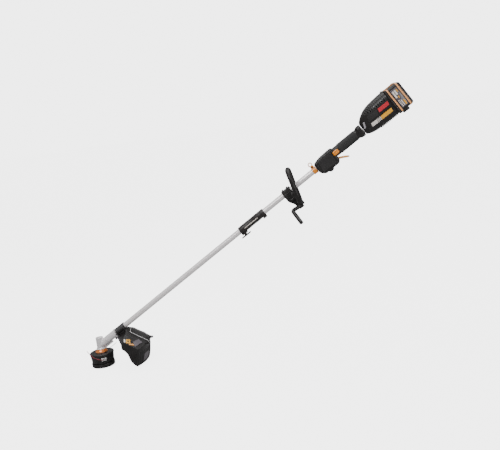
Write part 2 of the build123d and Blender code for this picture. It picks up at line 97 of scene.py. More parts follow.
def shade_smooth(mesh, angle):
    mesh.polygons.foreach_set("use_smooth", [True] * len(mesh.polygons))
    mesh.set_sharp_from_angle(angle=radians(angle))


def wrap_mesh(name, mesh, material, body, node, smooth_angle):
    mesh.materials.clear()
    mesh.materials.append(material)
    shade_smooth(mesh, smooth_angle)
    piece = new_object(name, mesh)
    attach(piece, body)
    if node:
        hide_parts(node)
    return piece


def evaluated_mesh(piece):
    """The mesh that a piece's modifiers give."""
    bpy.context.view_layer.update()
    graph = bpy.context.evaluated_depsgraph_get()
    return bpy.data.meshes.new_from_object(piece.evaluated_get(graph))


def add_box(bm, x0, x1, y0, y1, z0, z1, turn=None):
    made = bmesh.ops.create_cube(bm, size=1.0)["verts"]
    for vert in made:
        vert.co.x = x0 + (vert.co.x + 0.5) * (x1 - x0)
        vert.co.y = y0 + (vert.co.y + 0.5) * (y1 - y0)
        vert.co.z = z0 + (vert.co.z + 0.5) * (z1 - z0)
    if turn:
        bmesh.ops.transform(bm, matrix=turn, verts=made)
    return made


def add_boxes(bm, *boxes):
    for box in boxes:
        add_box(bm, *box)


def rounded_block(bm, x0, x1, y0, y1, z0, z1, radius, segments=5):
    made = add_box(bm, x0, x1, y0, y1, z0, z1)
    edges = {edge for vert in made for edge in vert.link_edges}
    bmesh.ops.bevel(bm, geom=list(edges), offset=radius, segments=segments, profile=0.5, affect="EDGES",
                    clamp_overlap=True)


def add_rings(bm, rings, cap=True, close=False):
    """Joins rings of points into a skin; cap fills both ends, close joins the last to the first."""
    loops = [[bm.verts.new(point) for point in ring] for ring in rings]
    pairs = list(zip(loops, loops[1:]))
    if close:
        pairs.append((loops[-1], loops[0]))
    for first, second in pairs:
        count = len(first)
        for i in range(count):
            j = (i + 1) % count
            bm.faces.new((first[i], first[j], second[j], second[i]))
    if cap and not close:
        bm.faces.new(list(reversed(loops[0])))
        bm.faces.new(loops[-1])
    return loops


def add_revolve(bm, profile, segments=96, wave=None, matrix=None):
    """Turns a profile of (radius, height) about z; wave(angle, radius, height) may change the radius.

    A profile that starts on the axis is capped there, and any other is joined end to end.
    """
    closed = profile[0][0] > 0.1
    rings = []
    for radius, height in profile:
        ring = []
        for i in range(segments):
            angle = tau * i / segments
            r = wave(angle, radius, height) if wave else radius
            point = Vector((r * cos(angle), r * sin(angle), height))
            ring.append(matrix @ point if matrix else point)
        rings.append(ring)
    return add_rings(bm, rings, cap=not closed, close=closed)


def along_x(x=0.0, z=0.0):
    """Turns a shape drawn about z so that its axis lies along x, starting at x."""
    return Matrix.Translation((x, 0, z)) @ Matrix.Rotation(pi / 2, 4, "Y")


def along_y(x=0.0, z=0.0):
    return Matrix.Translation((x, 0, z)) @ Matrix.Rotation(-pi / 2, 4, "X")


def add_outline(bm, outline, low, high, axis="y"):
    """A prism: the outline's two numbers are the other two axes in order."""
    def point(a, b, c):
        return {"x": (c, a, b), "y": (a, c, b), "z": (a, b, c)}[axis]
    lower = [bm.verts.new(point(a, b, low)) for a, b in outline]
    upper = [bm.verts.new(point(a, b, high)) for a, b in outline]
    bm.faces.new(lower)
    bm.faces.new(list(reversed(upper)))
    for i in range(len(outline)):
        j = (i + 1) % len(outline)
        bm.faces.new((lower[i], upper[i], upper[j], lower[j]))


def add_pipe(bm, points, radius, segments=12, closed=False):
    """A round tube along a list of points."""
    points = [Vector(p) for p in points]
    count = len(points)
    rings = []
    up = None
    for i, here in enumerate(points):
        before = points[(i - 1) % count] if closed or i else here
        after = points[(i + 1) % count] if closed or i < count - 1 else here
        along = (after - before).normalized()
        if up is None:
            up = along.orthogonal().normalized()
        up = (up - along * up.dot(along)).normalized()
        side = along.cross(up)
        r = radius(i / max(1, count - 1)) if callable(radius) else radius
        rings.append([here + (up * cos(a) + side * sin(a)) * r
                      for a in (tau * k / segments for k in range(segments))])
    add_rings(bm, rings, cap=not closed, close=closed)


def add_slab(bm, top, low):
    """Closes two matching grids of points into a thin panel."""
    top, low = [[[bm.verts.new(point) for point in line] for line in grid] for grid in (top, low)]
    columns, rows = len(top) - 1, len(top[0]) - 1
    for i in range(columns):
        for j in range(rows):
            bm.faces.new((top[i][j], top[i + 1][j], top[i + 1][j + 1], top[i][j + 1]))
            bm.faces.new((low[i][j], low[i][j + 1], low[i + 1][j + 1], low[i + 1][j]))
        for j in (0, rows):
            bm.faces.new((top[i][j], top[i + 1][j], low[i + 1][j], low[i][j]))
    for j in range(rows):
        for i in (0, columns):
            bm.faces.new((top[i][j], top[i][j + 1], low[i][j + 1], low[i][j]))


def carve(piece, cutter, place=SHAFT):
    """Takes a cutter bmesh in millimetres away from a piece."""
    mesh = bpy.data.meshes.new("cutter")
    bmesh.ops.recalc_face_normals(cutter, faces=cutter.faces)
    cutter.to_mesh(mesh)
    cutter.free()
    mesh.transform(place)
    tool = new_object("cutter", mesh)
    modifier = piece.modifiers.new("carve", "BOOLEAN")
    modifier.operation = "DIFFERENCE"
    modifier.solver = "EXACT"
    modifier.use_self = True
    modifier.object = tool
    new_mesh = evaluated_mesh(piece)
    piece.modifiers.clear()
    old = piece.data
    piece.data = new_mesh
    bpy.data.meshes.remove(old)
    bpy.data.objects.remove(tool)
    shade_smooth(new_mesh, 35)


def soften(node, voxel, passes, material, extra=None, place=SHAFT, keep=None):
    """A rounded, moulded copy of a CAD node, with extra solids (a bmesh in millimetres) melted into it."""
    work = bmesh.new()
    work.from_mesh(nodes[node].data)
    if extra:
        bmesh.ops.transform(extra, matrix=place, verts=extra.verts)
        spare = bpy.data.meshes.new("extra")
        extra.to_mesh(spare)
        extra.free()
        work.from_mesh(spare)
    bmesh.ops.remove_doubles(work, verts=work.verts, dist=1e-6)
    mesh = bpy.data.meshes.new("soft")
    work.to_mesh(mesh)
    work.free()
    shape = new_object("soft", mesh)
    remesh = shape.modifiers.new("remesh", "REMESH")
    remesh.mode = "VOXEL"
    remesh.voxel_size = voxel * MM
    relax = shape.modifiers.new("relax", "SMOOTH")
    relax.iterations = passes
    relax.factor = 0.5
    if keep:
        shape.modifiers.new("thin", "DECIMATE").ratio = keep
    result = evaluated_mesh(shape)
    bpy.data.objects.remove(shape)
    return wrap_mesh(node + "_moulded", result, material, nodes[node]["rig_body"], node, 50)


# ---- materials ----
def new_material(name):
    material = bpy.data.materials.new(name)
    material.use_nodes = True
    tree = material.node_tree
    return material, tree, tree.nodes["Principled BSDF"]


def set_inputs(tree, node, **inputs):
    """Sets a node's inputs by name: a socket is linked in, anything else is the input's value."""
    for name, value in inputs.items():
        socket = node.inputs[name.replace("_", " ")]
        if isinstance(value, bpy.types.NodeSocket):
            tree.links.new(value, socket)
        else:
            socket.default_value = value


def add_node(tree, kind, **inputs):
    node = tree.nodes.new("ShaderNode" + kind)
    set_inputs(tree, node, **inputs)
    return node


def object_place(tree):
    return add_node(tree, "TexCoord").outputs["Object"]


def noise_field(tree, scale, detail, stretch=(1, 1, 1), turn=0.0):
    """A noise texture in object space, stretched along the shaft where asked."""
    mapping = add_node(tree, "Mapping", Scale=stretch, Rotation=(0, turn, 0), Vector=object_place(tree))
    noise = add_node(tree, "TexNoise", Scale=scale, Detail=detail, Vector=mapping.outputs["Vector"])
    return noise.outputs["Fac"]


def ramp(tree, source, low, high, *colours):
    node = add_node(tree, "ValToRGB", Fac=source)
    for element, position, colour in zip(node.color_ramp.elements, (low, high), colours):
        element.position = position
        element.color = (*colour, 1)
    return node.outputs["Color"]


def worn_edges(tree, colour, edge_colour, amount):
    """Lightens convex edges a little, as handling does."""
    edges = add_node(tree, "NewGeometry").outputs["Pointiness"]
    mask = add_node(tree, "MapRange", From_Min=0.52, From_Max=0.62, To_Max=amount, Value=edges)
    mix = add_node(tree, "Mix")
    mix.data_type = "RGBA"
    set_inputs(tree, mix, Factor=mask.outputs["Result"], A=colour, B=(*edge_colour, 1))
    return mix.outputs["Result"]


def surface(name, colour, roughness, metallic=0.0, grain=(900, 0.03), blotch=0.12, wear=0.25, spread=0.08,
            coat=0.0, stretch=(1, 1, 1), edge=None, shine=0.5):
    """A moulded, cast or drawn surface: broad colour variation, fine grain, uneven gloss, worn edges."""
    material, tree, shader = new_material(name)
    darker = [c * (1 - blotch) for c in colour]
    lighter = [min(1, c * (1 + blotch) + 0.004) for c in colour]
    base = ramp(tree, noise_field(tree, 28.0, 4.0), 0.3, 0.7, darker, lighter)
    edge_colour = edge or [min(1, c * 1.6 + 0.05) for c in colour]
    gloss = add_node(tree, "MapRange", To_Min=roughness - spread, To_Max=roughness + spread,
                     Value=noise_field(tree, 90.0, 5.0, stretch, SHAFT_ANGLE))
    bump = add_node(tree, "Bump", Strength=0.35, Distance=grain[1] * MM,
                    Height=noise_field(tree, grain[0], 2.0, stretch, SHAFT_ANGLE))
    set_inputs(tree, shader, Base_Color=worn_edges(tree, base, edge_colour, wear), Metallic=metallic,
               Normal=bump.outputs["Normal"], Roughness=gloss.outputs["Result"], Specular_IOR_Level=shine)
    if coat:
        set_inputs(tree, shader, Coat_Weight=coat, Coat_Roughness=0.12)
    return material


def dotted_rubber(name, colour):
    """Soft overmould with a fine pimpled grain."""
    material, tree, shader = new_material(name)
    darker, lighter = [c * 0.85 for c in colour], [c * 1.2 for c in colour]
    base = ramp(tree, noise_field(tree, 35.0, 4.0), 0.3, 0.7, darker, lighter)
    cells = add_node(tree, "TexVoronoi", Scale=650.0, Vector=object_place(tree))
    bump = add_node(tree, "Bump", Strength=0.6, Distance=0.25 * MM, Height=cells.outputs["Distance"])
    bump.invert = True
    set_inputs(tree, shader, Normal=bump.outputs["Normal"], Roughness=0.72,
               Base_Color=worn_edges(tree, base, (0.1, 0.095, 0.09), 0.3))
    return material


def wound_copper(name):
    """Enamelled windings: fine turns round the axis."""
    material, tree, shader = new_material(name)
    turns = add_node(tree, "TexWave", Scale=260.0, Distortion=1.5, Vector=object_place(tree)).outputs["Fac"]
    bump = add_node(tree, "Bump", Distance=0.3 * MM, Height=turns)
    set_inputs(tree, shader, Base_Color=ramp(tree, turns, 0.2, 0.8, (0.16, 0.05, 0.02), (0.55, 0.22, 0.09)),
               Normal=bump.outputs["Normal"], Metallic=0.7, Roughness=0.35)
    return material


FINE = {"grain": (500, 0.02)}
LABEL = {"grain": (300, 0.01), "coat": 0.4}

BLACK = surface("black_plastic", (0.0085, 0.0072, 0.007), 0.4, grain=(700, 0.06), blotch=0.2, shine=0.38,
                wear=0.35, edge=(0.05, 0.045, 0.043))
BLACK_GLOSS = surface("black_gloss", (0.006, 0.0055, 0.006), 0.22, grain=(500, 0.015), coat=0.25, shine=0.4,
                      edge=(0.04, 0.036, 0.035))
CHARCOAL = surface("charcoal_plastic", (0.019, 0.0172, 0.0176), 0.46, grain=(650, 0.06), blotch=0.18,
                   shine=0.35, edge=(0.08, 0.075, 0.075))
BROWN_GREY = surface("coupler_plastic", (0.015, 0.0115, 0.011), 0.42, grain=(600, 0.05), blotch=0.2,
                     shine=0.4, edge=(0.07, 0.06, 0.058))
RUBBER = dotted_rubber("grip_rubber", (0.015, 0.0148, 0.015))
ORANGE = surface("orange_plastic", (0.82, 0.255, 0.004), 0.33, blotch=0.07, wear=0.1, coat=0.3,
                 edge=(0.95, 0.5, 0.15), **FINE)
AMBER = surface("amber_collar", (0.72, 0.20, 0.035), 0.26, metallic=0.35, grain=(400, 0.02), coat=0.4,
                edge=(1.0, 0.6, 0.3))
TRIGGER_ORANGE = surface("trigger_orange", (0.80, 0.36, 0.09), 0.36, blotch=0.07, wear=0.15, coat=0.2,
                         edge=(0.95, 0.65, 0.4), **FINE)
PEACH = surface("peach_trim", (0.85, 0.36, 0.12), 0.34, blotch=0.06, wear=0.15, coat=0.4,
                edge=(1.0, 0.68, 0.45), **FINE)
RED = surface("red_label", (0.55, 0.022, 0.035), 0.35, blotch=0.06, wear=0.0, **LABEL)
YELLOW = surface("yellow_label", (0.85, 0.40, 0.012), 0.35, blotch=0.06, wear=0.0, **LABEL)
CREAM = surface("cream_label", (0.82, 0.76, 0.7), 0.4, blotch=0.05, wear=0.0, **LABEL)
# Grey for the battery labels and the hood's back pads; on the hood's raised panels the same grey is painted
# light, standing in for a lit face of the black plastic.
GREY_LABEL_AND_PAINTED_LIGHT = surface("grey_label_and_painted_light", (0.085, 0.072, 0.085), 0.36, blotch=0.08, wear=0.1, **LABEL)
# Painted highlight: a light grey for the glossy glint near the motor casing's tip.
PAINTED_HIGHLIGHT_GREY = surface("painted_highlight_grey", (0.36, 0.34, 0.37), 0.3, grain=(400, 0.02), blotch=0.08, coat=0.4)
WHITE = surface("white_plastic", (0.8, 0.79, 0.77), 0.38, blotch=0.05, wear=0.1, **FINE)
TUBE = surface("drawn_aluminium", (0.86, 0.82, 0.825), 0.34, metallic=0.3, grain=(260, 0.02), blotch=0.04,
               wear=0.0, spread=0.06, coat=0.2, stretch=(0.02, 1, 1))
CAST = surface("cast_aluminium", (0.80, 0.77, 0.785), 0.4, metallic=0.25, grain=(420, 0.12), blotch=0.05,
               wear=0.3, edge=(0.92, 0.9, 0.91))
STEEL = surface("bright_steel", (0.72, 0.71, 0.71), 0.27, metallic=0.8, blotch=0.05, **FINE)
DARK_STEEL = surface("black_oxide_steel", (0.03, 0.028, 0.03), 0.38, metallic=0.6, grain=(400, 0.03),
                     edge=(0.3, 0.3, 0.3))
BRASS = surface("brass", (0.68, 0.45, 0.16), 0.3, metallic=1.0, grain=(400, 0.02))
LINE_RED = surface("nylon_red", (0.26, 0.008, 0.022), 0.3, grain=(400, 0.05), blotch=0.1, coat=0.4)
# Painted shade: the back cutting line is the same red nylon as the front one, coloured dark grey where it
# lies in shade.
LINE_PAINTED_SHADE = surface("nylon_grey", (0.09, 0.07, 0.075), 0.32, grain=(400, 0.05), blotch=0.1, coat=0.4)
COPPER = wound_copper("copper_windings")
BOARD = surface("board_lacquer", (0.012, 0.12, 0.05), 0.25, grain=(300, 0.03), blotch=0.15, coat=0.5)

NODE_MATERIALS = {
    BLACK: "spool_cover bump_knob guard_shield loop_handle handle_clamp_cap barrier_bar "
           "control_housing_left control_housing_right motor_housing_left motor_housing_right "
           "battery_dock battery_left battery_right battery_latch_left battery_latch_right speed_dial "
           "switch_module spool_housing clamp_knob release_button",
    BROWN_GREY: "coupler_housing",
    CHARCOAL: "spool",
    RUBBER: "grip_sleeve",
    ORANGE: "strap_clamp lock_off_button",
    TRIGGER_ORANGE: "trigger",
    AMBER: "head_collar",
    TUBE: "lower_tube upper_tube",
    CAST: "gearbox_housing",
    DARK_STEEL: "guard_bracket gearbox_clamp_screw handle_screws strap_clamp_screw guard_screws",
    STEEL: "line_cutter edge_guide_wire output_shaft bevel_gear pinion lower_drive_shaft "
           "upper_drive_shaft gearbox_bearings motor_bearings bump_spring release_spring trigger_spring "
           "trigger_pin clamp_nut",
    BRASS: "arbor_nut",
    WHITE: "line_eyelets lower_shaft_bushes upper_shaft_bushes",
    LINE_RED: "cutting_line_front wound_line",
    LINE_PAINTED_SHADE: "cutting_line_back",
    COPPER: "motor_stator motor_rotor_fan",
    BOARD: "controller_board",
}


def dress_cad_nodes():
    for material, names in NODE_MATERIALS.items():
        for name in names.split():
            mesh = nodes[name].data
            mesh.materials.clear()
            mesh.materials.append(material)


# ---- cutting head ----
EYELET_ANGLE = radians(-67.8)
EYELET_Z = 46.0


def lobes(count, depth, low, high):
    """Scallops round a rim, between two heights."""
    def wave(angle, radius, height):
        if low <= height <= high and radius > 40:
            return radius - depth * (0.5 - 0.5 * cos(count * angle)) ** 3
        return radius
    return wave


def make_spool_housing():
    bm = bmesh.new()
    profile = [(5.2, 70.8), (29, 70.8), (30, 69.6), (34, 69.6), (35, 70.6), (50, 70.2), (54.5, 69.2),
               (56.6, 67), (57, 64.5), (56.6, 62.5), (55.2, 61.5), (55.0, 60), (54.2, 52), (53.3, 44),
               (52.4, 36), (51.6, 31.5), (52.2, 30.5), (52.0, 27), (50.8, 25.2), (47.6, 25.2), (47.6, 29),
               (52.6, 60), (53, 66.5), (14, 67), (14, 45), (11, 45), (11, 67), (5.2, 67)]
    add_revolve(bm, profile, 192, lobes(32, 1.3, 31.0, 60.5))
    piece = finish("spool_housing_shell", bm, BLACK, "head", "spool_housing", MAIN, 32)
    cutter = bmesh.new()
    for side in (0, 1):
        turn = Matrix.Rotation(EYELET_ANGLE + side * pi, 4, "Z")
        add_box(cutter, 44, 64, -11.4, 11.4, EYELET_Z - 6.4, EYELET_Z + 6.4, turn)
    for slot in range(12):
        turn = Matrix.Rotation(radians(15 + slot * 30), 4, "Z")
        add_box(cutter, 38, 47, -1.6, 1.6, 66, 73, turn)
    carve(piece, cutter, MAIN)


def make_spool_cover():
    bm = bmesh.new()
    profile = [(35.6, 3), (48, 3), (51.5, 3.8), (53.8, 5.8), (54.4, 8.5), (54.4, 12), (53.6, 13),
               (53.6, 14.5), (54.4, 15.5), (54.4, 20), (53.6, 21.6), (52, 22), (47, 22), (47, 29.5),
               (44.8, 29.5), (44.8, 19.5), (51.4, 19), (51.6, 9), (48.5, 6), (35.6, 6)]
    add_revolve(bm, profile, 160, lobes(8, 2.2, 7.0, 12.5))
    for side in (0, 1):
        turn = Matrix.Rotation(EYELET_ANGLE + radians(55 + 180 * side), 4, "Z")
        add_box(bm, 49.0, 54.9, -9, 9, 14, 27, turn)
        for rib in (-5, 0, 5):
            add_box(bm, 54.0, 55.6, rib - 1.1, rib + 1.1, 15, 24, turn)
    finish("spool_cover_cap", bm, BLACK, "head", "spool_cover", MAIN, 32)


def make_bump_knob():
    bm = bmesh.new()
    profile = [(0.01, 0.0), (8, 0), (9, 0.9), (12, 0.9), (13, 0), (19, 0.1), (20, 1.0), (23, 1.1), (24, 0.4),
               (28.5, 1.4), (32.5, 3.6), (34.2, 6.4), (34.6, 9), (30, 10), (17, 10), (17, 14), (0.01, 14)]
    add_revolve(bm, profile, 96)
    finish("bump_knob_dome", bm, CHARCOAL, "bump_feed", "bump_knob", MAIN, 32)


def make_head_collar():
    bm = bmesh.new()
    profile = [(5.2, 71), (27.6, 71), (28.5, 71.8), (28.5, 73.6), (28.0, 74.6), (27.2, 74.9), (26.8, 75.6),
               (23.2, 81.2), (22.0, 83.2), (21.0, 84), (19.4, 84), (18.6, 83.4), (18.6, 77), (5.2, 77)]
    add_revolve(bm, profile, 96)
    finish("head_collar_ring", bm, AMBER, "head", "head_collar", MAIN, 32)


def make_eyelets():
    for side, label in ((0, "front"), (1, "back")):
        turn = Matrix.Rotation(EYELET_ANGLE + side * pi, 4, "Z")
        bm = bmesh.new()
        rounded_block(bm, 48.6, 57.6, -11.2, 11.2, EYELET_Z - 6.2, EYELET_Z + 6.2, 1.3, 3)
        place = along_x(0, EYELET_Z)
        add_revolve(bm, [(2.7, 48.8), (5.2, 48.8), (5.2, 57.9), (4.6, 58.4), (3.4, 58.4), (2.7, 57.6)], 40,
                    matrix=place)
        piece = finish("line_eyelet_" + label, bm, WHITE, "head", "line_eyelets", MAIN @ turn, 32)
        cutter = bmesh.new()
        add_revolve(cutter, [(0.01, 40), (2.65, 40), (2.65, 56.4), (3.6, 60), (0.01, 60)], 40, matrix=place)
        carve(piece, cutter, MAIN @ turn)
        marks = bmesh.new()
        for across in (-8.0, 8.0):
            add_box(marks, 56.6, 58.0, across - 1.5, across + 1.5, EYELET_Z - 2.8, EYELET_Z + 2.8)
        add_revolve(marks, [(4.8, 57.0), (6.6, 57.0), (6.6, 57.95), (4.8, 57.95)], 40, matrix=place)
        finish("line_eyelet_marks_" + label, marks, BLACK, "head", None, MAIN @ turn)


def make_cutting_lines():
    """Two stiff nylon lines, each set by the winding it has come off. The back line's grey is painted shade:
    it is the same red nylon, darkened as if in shade.
    """
    inner = (46 * cos(EYELET_ANGLE), 46 * sin(EYELET_ANGLE), EYELET_Z)
    outer = (62 * cos(EYELET_ANGLE), 62 * sin(EYELET_ANGLE), EYELET_Z)
    front = [inner, outer, (17, -72, 50), (-10, -78, 62), (-32, -76, 82), (-46, -70, 101)]
    back = [(-x, -y, z) for x, y, z in front[:3]] + [(14, 80, 58), (42, 73, 72), (62, 56, 90)]
    # The back line takes the painted-shade grey.
    for name, route, material in (("front", front, LINE_RED), ("back", back, LINE_PAINTED_SHADE)):
        curve = bpy.data.curves.new("line_" + name, "CURVE")
        curve.dimensions = "3D"
        curve.bevel_depth = 1.2 * MM
        curve.bevel_resolution = 4
        curve.resolution_u = 24
        curve.use_fill_caps = True
        spline = curve.splines.new("NURBS")
        spline.points.add(len(route) - 1)
        for point, place in zip(spline.points, route):
            point.co = (place[0] * MM, place[1] * MM, place[2] * MM, 1)
        spline.order_u = 3
        spline.use_endpoint_u = True
        curve.materials.append(material)
        piece = new_object("cutting_line_" + name + "_nylon", curve)
        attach(piece, "head")
        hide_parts("cutting_line_" + name)
        spans = zip(route, route[1:])
        length = sum((Vector(b) - Vector(a)).length for a, b in spans) * MM


def make_bump_spring():
    bm = bmesh.new()
    turns = 6
    points = []
    for i in range(turns * 28 + 1):
        t = i / (turns * 28)
        angle = tau * turns * t
        points.append((12.3 * cos(angle), 12.3 * sin(angle), 18.2 + 25.6 * t))
    add_pipe(bm, points, 0.9, 10)
    piece = finish("bump_spring_coil", bm, STEEL, "head", "bump_spring", MAIN)
    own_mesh(piece)


# ---- gearbox ----
def make_gearbox():
    extra = bmesh.new()
    add_box(extra, 6, 60, -3, 3, -26, 14)
    add_revolve(extra, [(11, 0), (19.2, 0), (19.2, 5), (11, 5)], 64, matrix=along_x(95))
    soften("gearbox_housing", 0.9, 5, CAST, extra)

    cap = bmesh.new()
    profile = [(0.01, 140.6), (7, 140.6), (8, 139.9), (11.2, 139.9), (11.8, 139.2), (11.8, 138.4),
               (0.01, 138.4)]
    add_revolve(cap, profile, 48)
    finish("gearbox_end_plug", cap, CAST, "attachment", None, MAIN)
    plug = bmesh.new()
    place = Matrix.Translation((44, 0, 0)) @ Matrix.Rotation(pi / 2, 4, "X")
    hexagon = [(4.4 * cos(radians(60 * k)), 4.4 * sin(radians(60 * k))) for k in range(6)]
    add_rings(plug, [[place @ Vector((a, b, h)) for a, b in hexagon] for h in (16.4, 19.6)])
    finish("grease_plug", plug, STEEL, "attachment", bevel=0.4)


# ---- guard ----
def skin_of(piece):
    """A ray-cast tree of a piece's surface, in millimetres."""
    points = [v.co / MM for v in piece.data.vertices]
    return BVHTree.FromPolygons(points, [tuple(p.vertices) for p in piece.data.polygons])


def add_cast_patch(bm, skin, corners, direction, lift, depth, columns, rows):
    """A thin panel laid on a surface: four corners are thrown along a direction onto the skin."""
    a, b, c, d = [Vector(corner) for corner in corners]
    direction = Vector(direction)
    top, low = [], []
    for i in range(columns + 1):
        u = i / columns
        top.append([])
        low.append([])
        for j in range(rows + 1):
            v = j / rows
            point = (a * (1 - u) + b * u) * (1 - v) + (d * (1 - u) + c * u) * v
            hit, normal, _, _ = skin.ray_cast(point - direction * 60, direction, 160)
            if hit is None:
                hit, normal, _, _ = skin.find_nearest(Vector((point.x, point.y, 110)))
            if normal.dot(direction) > 0:
                normal = -normal
            top[-1].append(hit + normal * lift)
            low[-1].append(hit - normal * depth)
    add_slab(bm, top, low)


def guard_dressing(shield):
    """The rolled lip, side ribs, raised panels and a plain label on the hood; the raised panels' grey is
    painted light, standing in for a lit face of the black hood.
    """
    skin = skin_of(shield)
    down = (0, 0, -1)
    lip = bmesh.new()
    near = [(131, -111.4, 105), (140, -111.4, 98), (148, -111.4, 89), (155, -111.4, 79), (160, -111.4, 61),
            (165, -111.4, 44), (171, -111.4, 34), (177, -111.4, 27), (185, -111.4, 19.5), (190, -111.4, 16.8)]
    arc = [(218 * cos(radians(a)), 218 * sin(radians(a)), 16.4) for a in range(-29, 30, 2)]
    far = [(x, -y, z) for x, y, z in reversed(near)]
    add_pipe(lip, near + arc + far, 2.3, 10)
    finish("guard_lip", lip, CHARCOAL, "attachment", None, MAIN)
    ribs = bmesh.new()
    for side in (-1, 1):
        for k in range(5):
            x = 168.5 + 5.6 * k
            low = 46 - 5.5 * k
            line = ((112.3, low), (112.7, low + 6), (112.7, 74), (112.0, 82))
            add_pipe(ribs, [(x, side * y, z) for y, z in line], 1.5, 8)
    finish("guard_side_ribs", ribs, BLACK, "attachment", None, MAIN)
    # Painted light: the grey on these raised panels stands in for a lit face of the black hood.
    panels = bmesh.new()
    for side in (-1, 1):
        add_cast_patch(panels, skin, [(178, side * 84, 200), (196, side * 50, 200), (214, side * 58, 200),
                                      (190, side * 108, 200)], down, 2.2, 1.5, 14, 14)
    finish("guard_raised_panels_painted_light", panels, GREY_LABEL_AND_PAINTED_LIGHT, "attachment", None, MAIN, 40, bevel=0.8)
    back = bmesh.new()
    for side in (-1, 1):
        add_cast_patch(back, skin, [(232, side * 72, 26), (238, side * 18, 26), (242, side * 18, 58),
                                    (236, side * 66, 58)], (-1, 0, 0), 1.2, 1.5, 16, 8)
    finish("guard_back_pads", back, GREY_LABEL_AND_PAINTED_LIGHT, "attachment", None, MAIN, 40)
    # The first panel is a darker, glossier black laid over the hood under and round the labels.
    flat = [("guard_dark_gloss_panel", BLACK_GLOSS, 0.5, (130, -62), (172, -63), (176, -99), (143, -108)),
            ("guard_label_orange", YELLOW, 0.9, (150, -86), (165, -75), (169, -99), (152.5, -108)),
            ("guard_label_cream", CREAM, 0.9, (141.5, -91), (147, -89), (149.5, -108), (144, -109)),
            ("guard_label_mark", BROWN_GREY, 1.2, (156, -89), (162, -86), (163, -96), (157, -98)),
            ("guard_orange_stripe", TRIGGER_ORANGE, 1.6, (163, -106.5), (189, -89), (192, -96),
             (168, -110.5))]
    for name, material, lift, *corners in flat:
        panel = bmesh.new()
        add_cast_patch(panel, skin, [(x, y, 200) for x, y in corners], down, lift, 1.0, 16, 16)
        finish(name, panel, material, "attachment", None, MAIN, 50)


def make_guard():
    extra = bmesh.new()
    rake = Matrix.Translation((218, 0, 16)) @ Matrix.Rotation(radians(11.3), 4, "Y")
    for rib in range(15):
        turn = Matrix.Rotation(radians(-28 + 4 * rib), 4, "Z")
        add_box(extra, 0, 3.2, -1.5, 1.5, 0, 62, turn @ rake)
    guard_dressing(soften("guard_shield", 1.5, 6, BLACK, extra, MAIN, keep=0.6))


# ---- coupler ----
def make_coupler():
    bm = bmesh.new()
    stations = [(0, 13.2), (0, 16.2), (1.2, 17.3), (8, 17.5), (9, 16.6), (11, 16.6), (12, 17.5), (56, 17.5),
                (57.5, 16.8), (84, 16.8), (85.5, 17.5), (108, 17.5), (109, 16.7), (111, 16.7), (112, 17.5),
                (115, 16.7), (117, 16.7), (118, 17.5), (121, 16.7), (123, 16.7), (124, 17.5), (139, 17.3),
                (141, 16.2), (141, 13.2)]
    add_revolve(bm, [(r, x) for x, r in stations], 96, matrix=along_x(861))
    piece = finish("coupler_sleeve", bm, BROWN_GREY, "power_unit", "coupler_housing", SHAFT, 32)
    bore = bmesh.new()
    circle = [(905 + 5.3 * cos(k * tau / 48), 5.3 * sin(k * tau / 48)) for k in range(48)]
    add_rings(bore, [[(x, y, z) for x, z in circle] for y in (12.9, 21)])
    carve(piece, bore)
    boss = bmesh.new()
    add_boxes(boss, (983, 1001, -9, 9, -25, -14), (858.5, 888, -8, 8, -24, -14))
    finish("coupler_lugs", boss, BROWN_GREY, smooth_angle=32, bevel=2.4)
    guard = bmesh.new()
    add_revolve(guard, [(5.1, 15.5), (8.4, 15.5), (9, 17.5), (8.6, 19.6), (7.4, 20), (5.1, 20)], 48,
                matrix=along_y(905))
    finish("release_button_collar", guard, BROWN_GREY)
    seam = bmesh.new()
    for side in (-1, 1):
        add_box(seam, 870, 998, -0.5, 0.5, side * 17.2, side * 17.75)
    finish("coupler_seam", seam, BLACK)
    screw_heads = bmesh.new()
    for x in (930, 990):
        add_revolve(screw_heads, [(0.01, 16.2), (3.4, 16.2), (3.4, 17.6), (2.9, 18.1), (1.5, 18.1),
                                  (1.5, 17.0), (0.01, 17.0)], 24,
                    matrix=Matrix.Translation((x, 0, 6)) @ Matrix.Rotation(pi / 2, 4, "X"))
    finish("coupler_screws", screw_heads, DARK_STEEL)
    # Moulded alignment marks in place of the printing.
    marks = bmesh.new()
    x = 888.0
    for wide in (7, 4, 5, 3, 8, 5, 3, 6, 4, 7, 5):
        place = Matrix.Rotation(radians(93), 4, "X") @ Matrix.Translation((x, 0, 16.7))
        add_box(marks, 0, wide, -1.9, 1.9, 0, 1.0, place)
        x += wide + 1.8
    finish("coupler_marks", marks, CREAM)


def make_clamp_knob():
    bm = bmesh.new()
    bar = []
    for k in range(25):
        t = k / 24
        x = 846 + 53 * t
        swell = sqrt(max(0.0, 1 - (2 * t - 1) ** 8))
        width = (3.4 + 1.3 * cos(pi * (2 * t - 1))) * swell + 0.05
        height = 3.5 * swell + 0.05
        bar.append([(x, width * cos(a), -31.5 + height * sin(a))
                    for a in (tau * j / 20 for j in range(20))])
    add_rings(bm, bar)
    add_revolve(bm, [(0.01, -35), (5.6, -35), (6.8, -34), (7, -26), (6, -24.6), (3, -24.5), (3, -13.3),
                     (0.01, -13.3)], 40, lambda a, r, h: r - 0.35 * (0.5 - 0.5 * cos(12 * a)) if 6 < r else r,
                Matrix.Translation((872.5, 0, 0)))
    finish("clamp_knob_wing", bm, CHARCOAL, "coupler_knob", "clamp_knob")


# ---- loop handle ----
LOOP = Matrix.Translation((1178, 0, 1.5)) @ Matrix.Rotation(radians(17.5), 4, "Y")


def loop_line(high=78.0, wide=58.0, corner=46.0, quarter=36):
    """Points round the loop's centre line: straight sides with round corners."""
    points = []
    for cy, cz, start in ((1, 1, 0), (-1, 1, 90), (-1, -1, 180), (1, -1, 270)):
        for step in range(quarter):
            angle = radians(start + 90 * step / (quarter - 1))
            y = cy * (wide - corner) + corner * cos(angle)
            z = cz * (high - corner) + corner * sin(angle)
            points.append(Vector((0, y, z)))
    return points


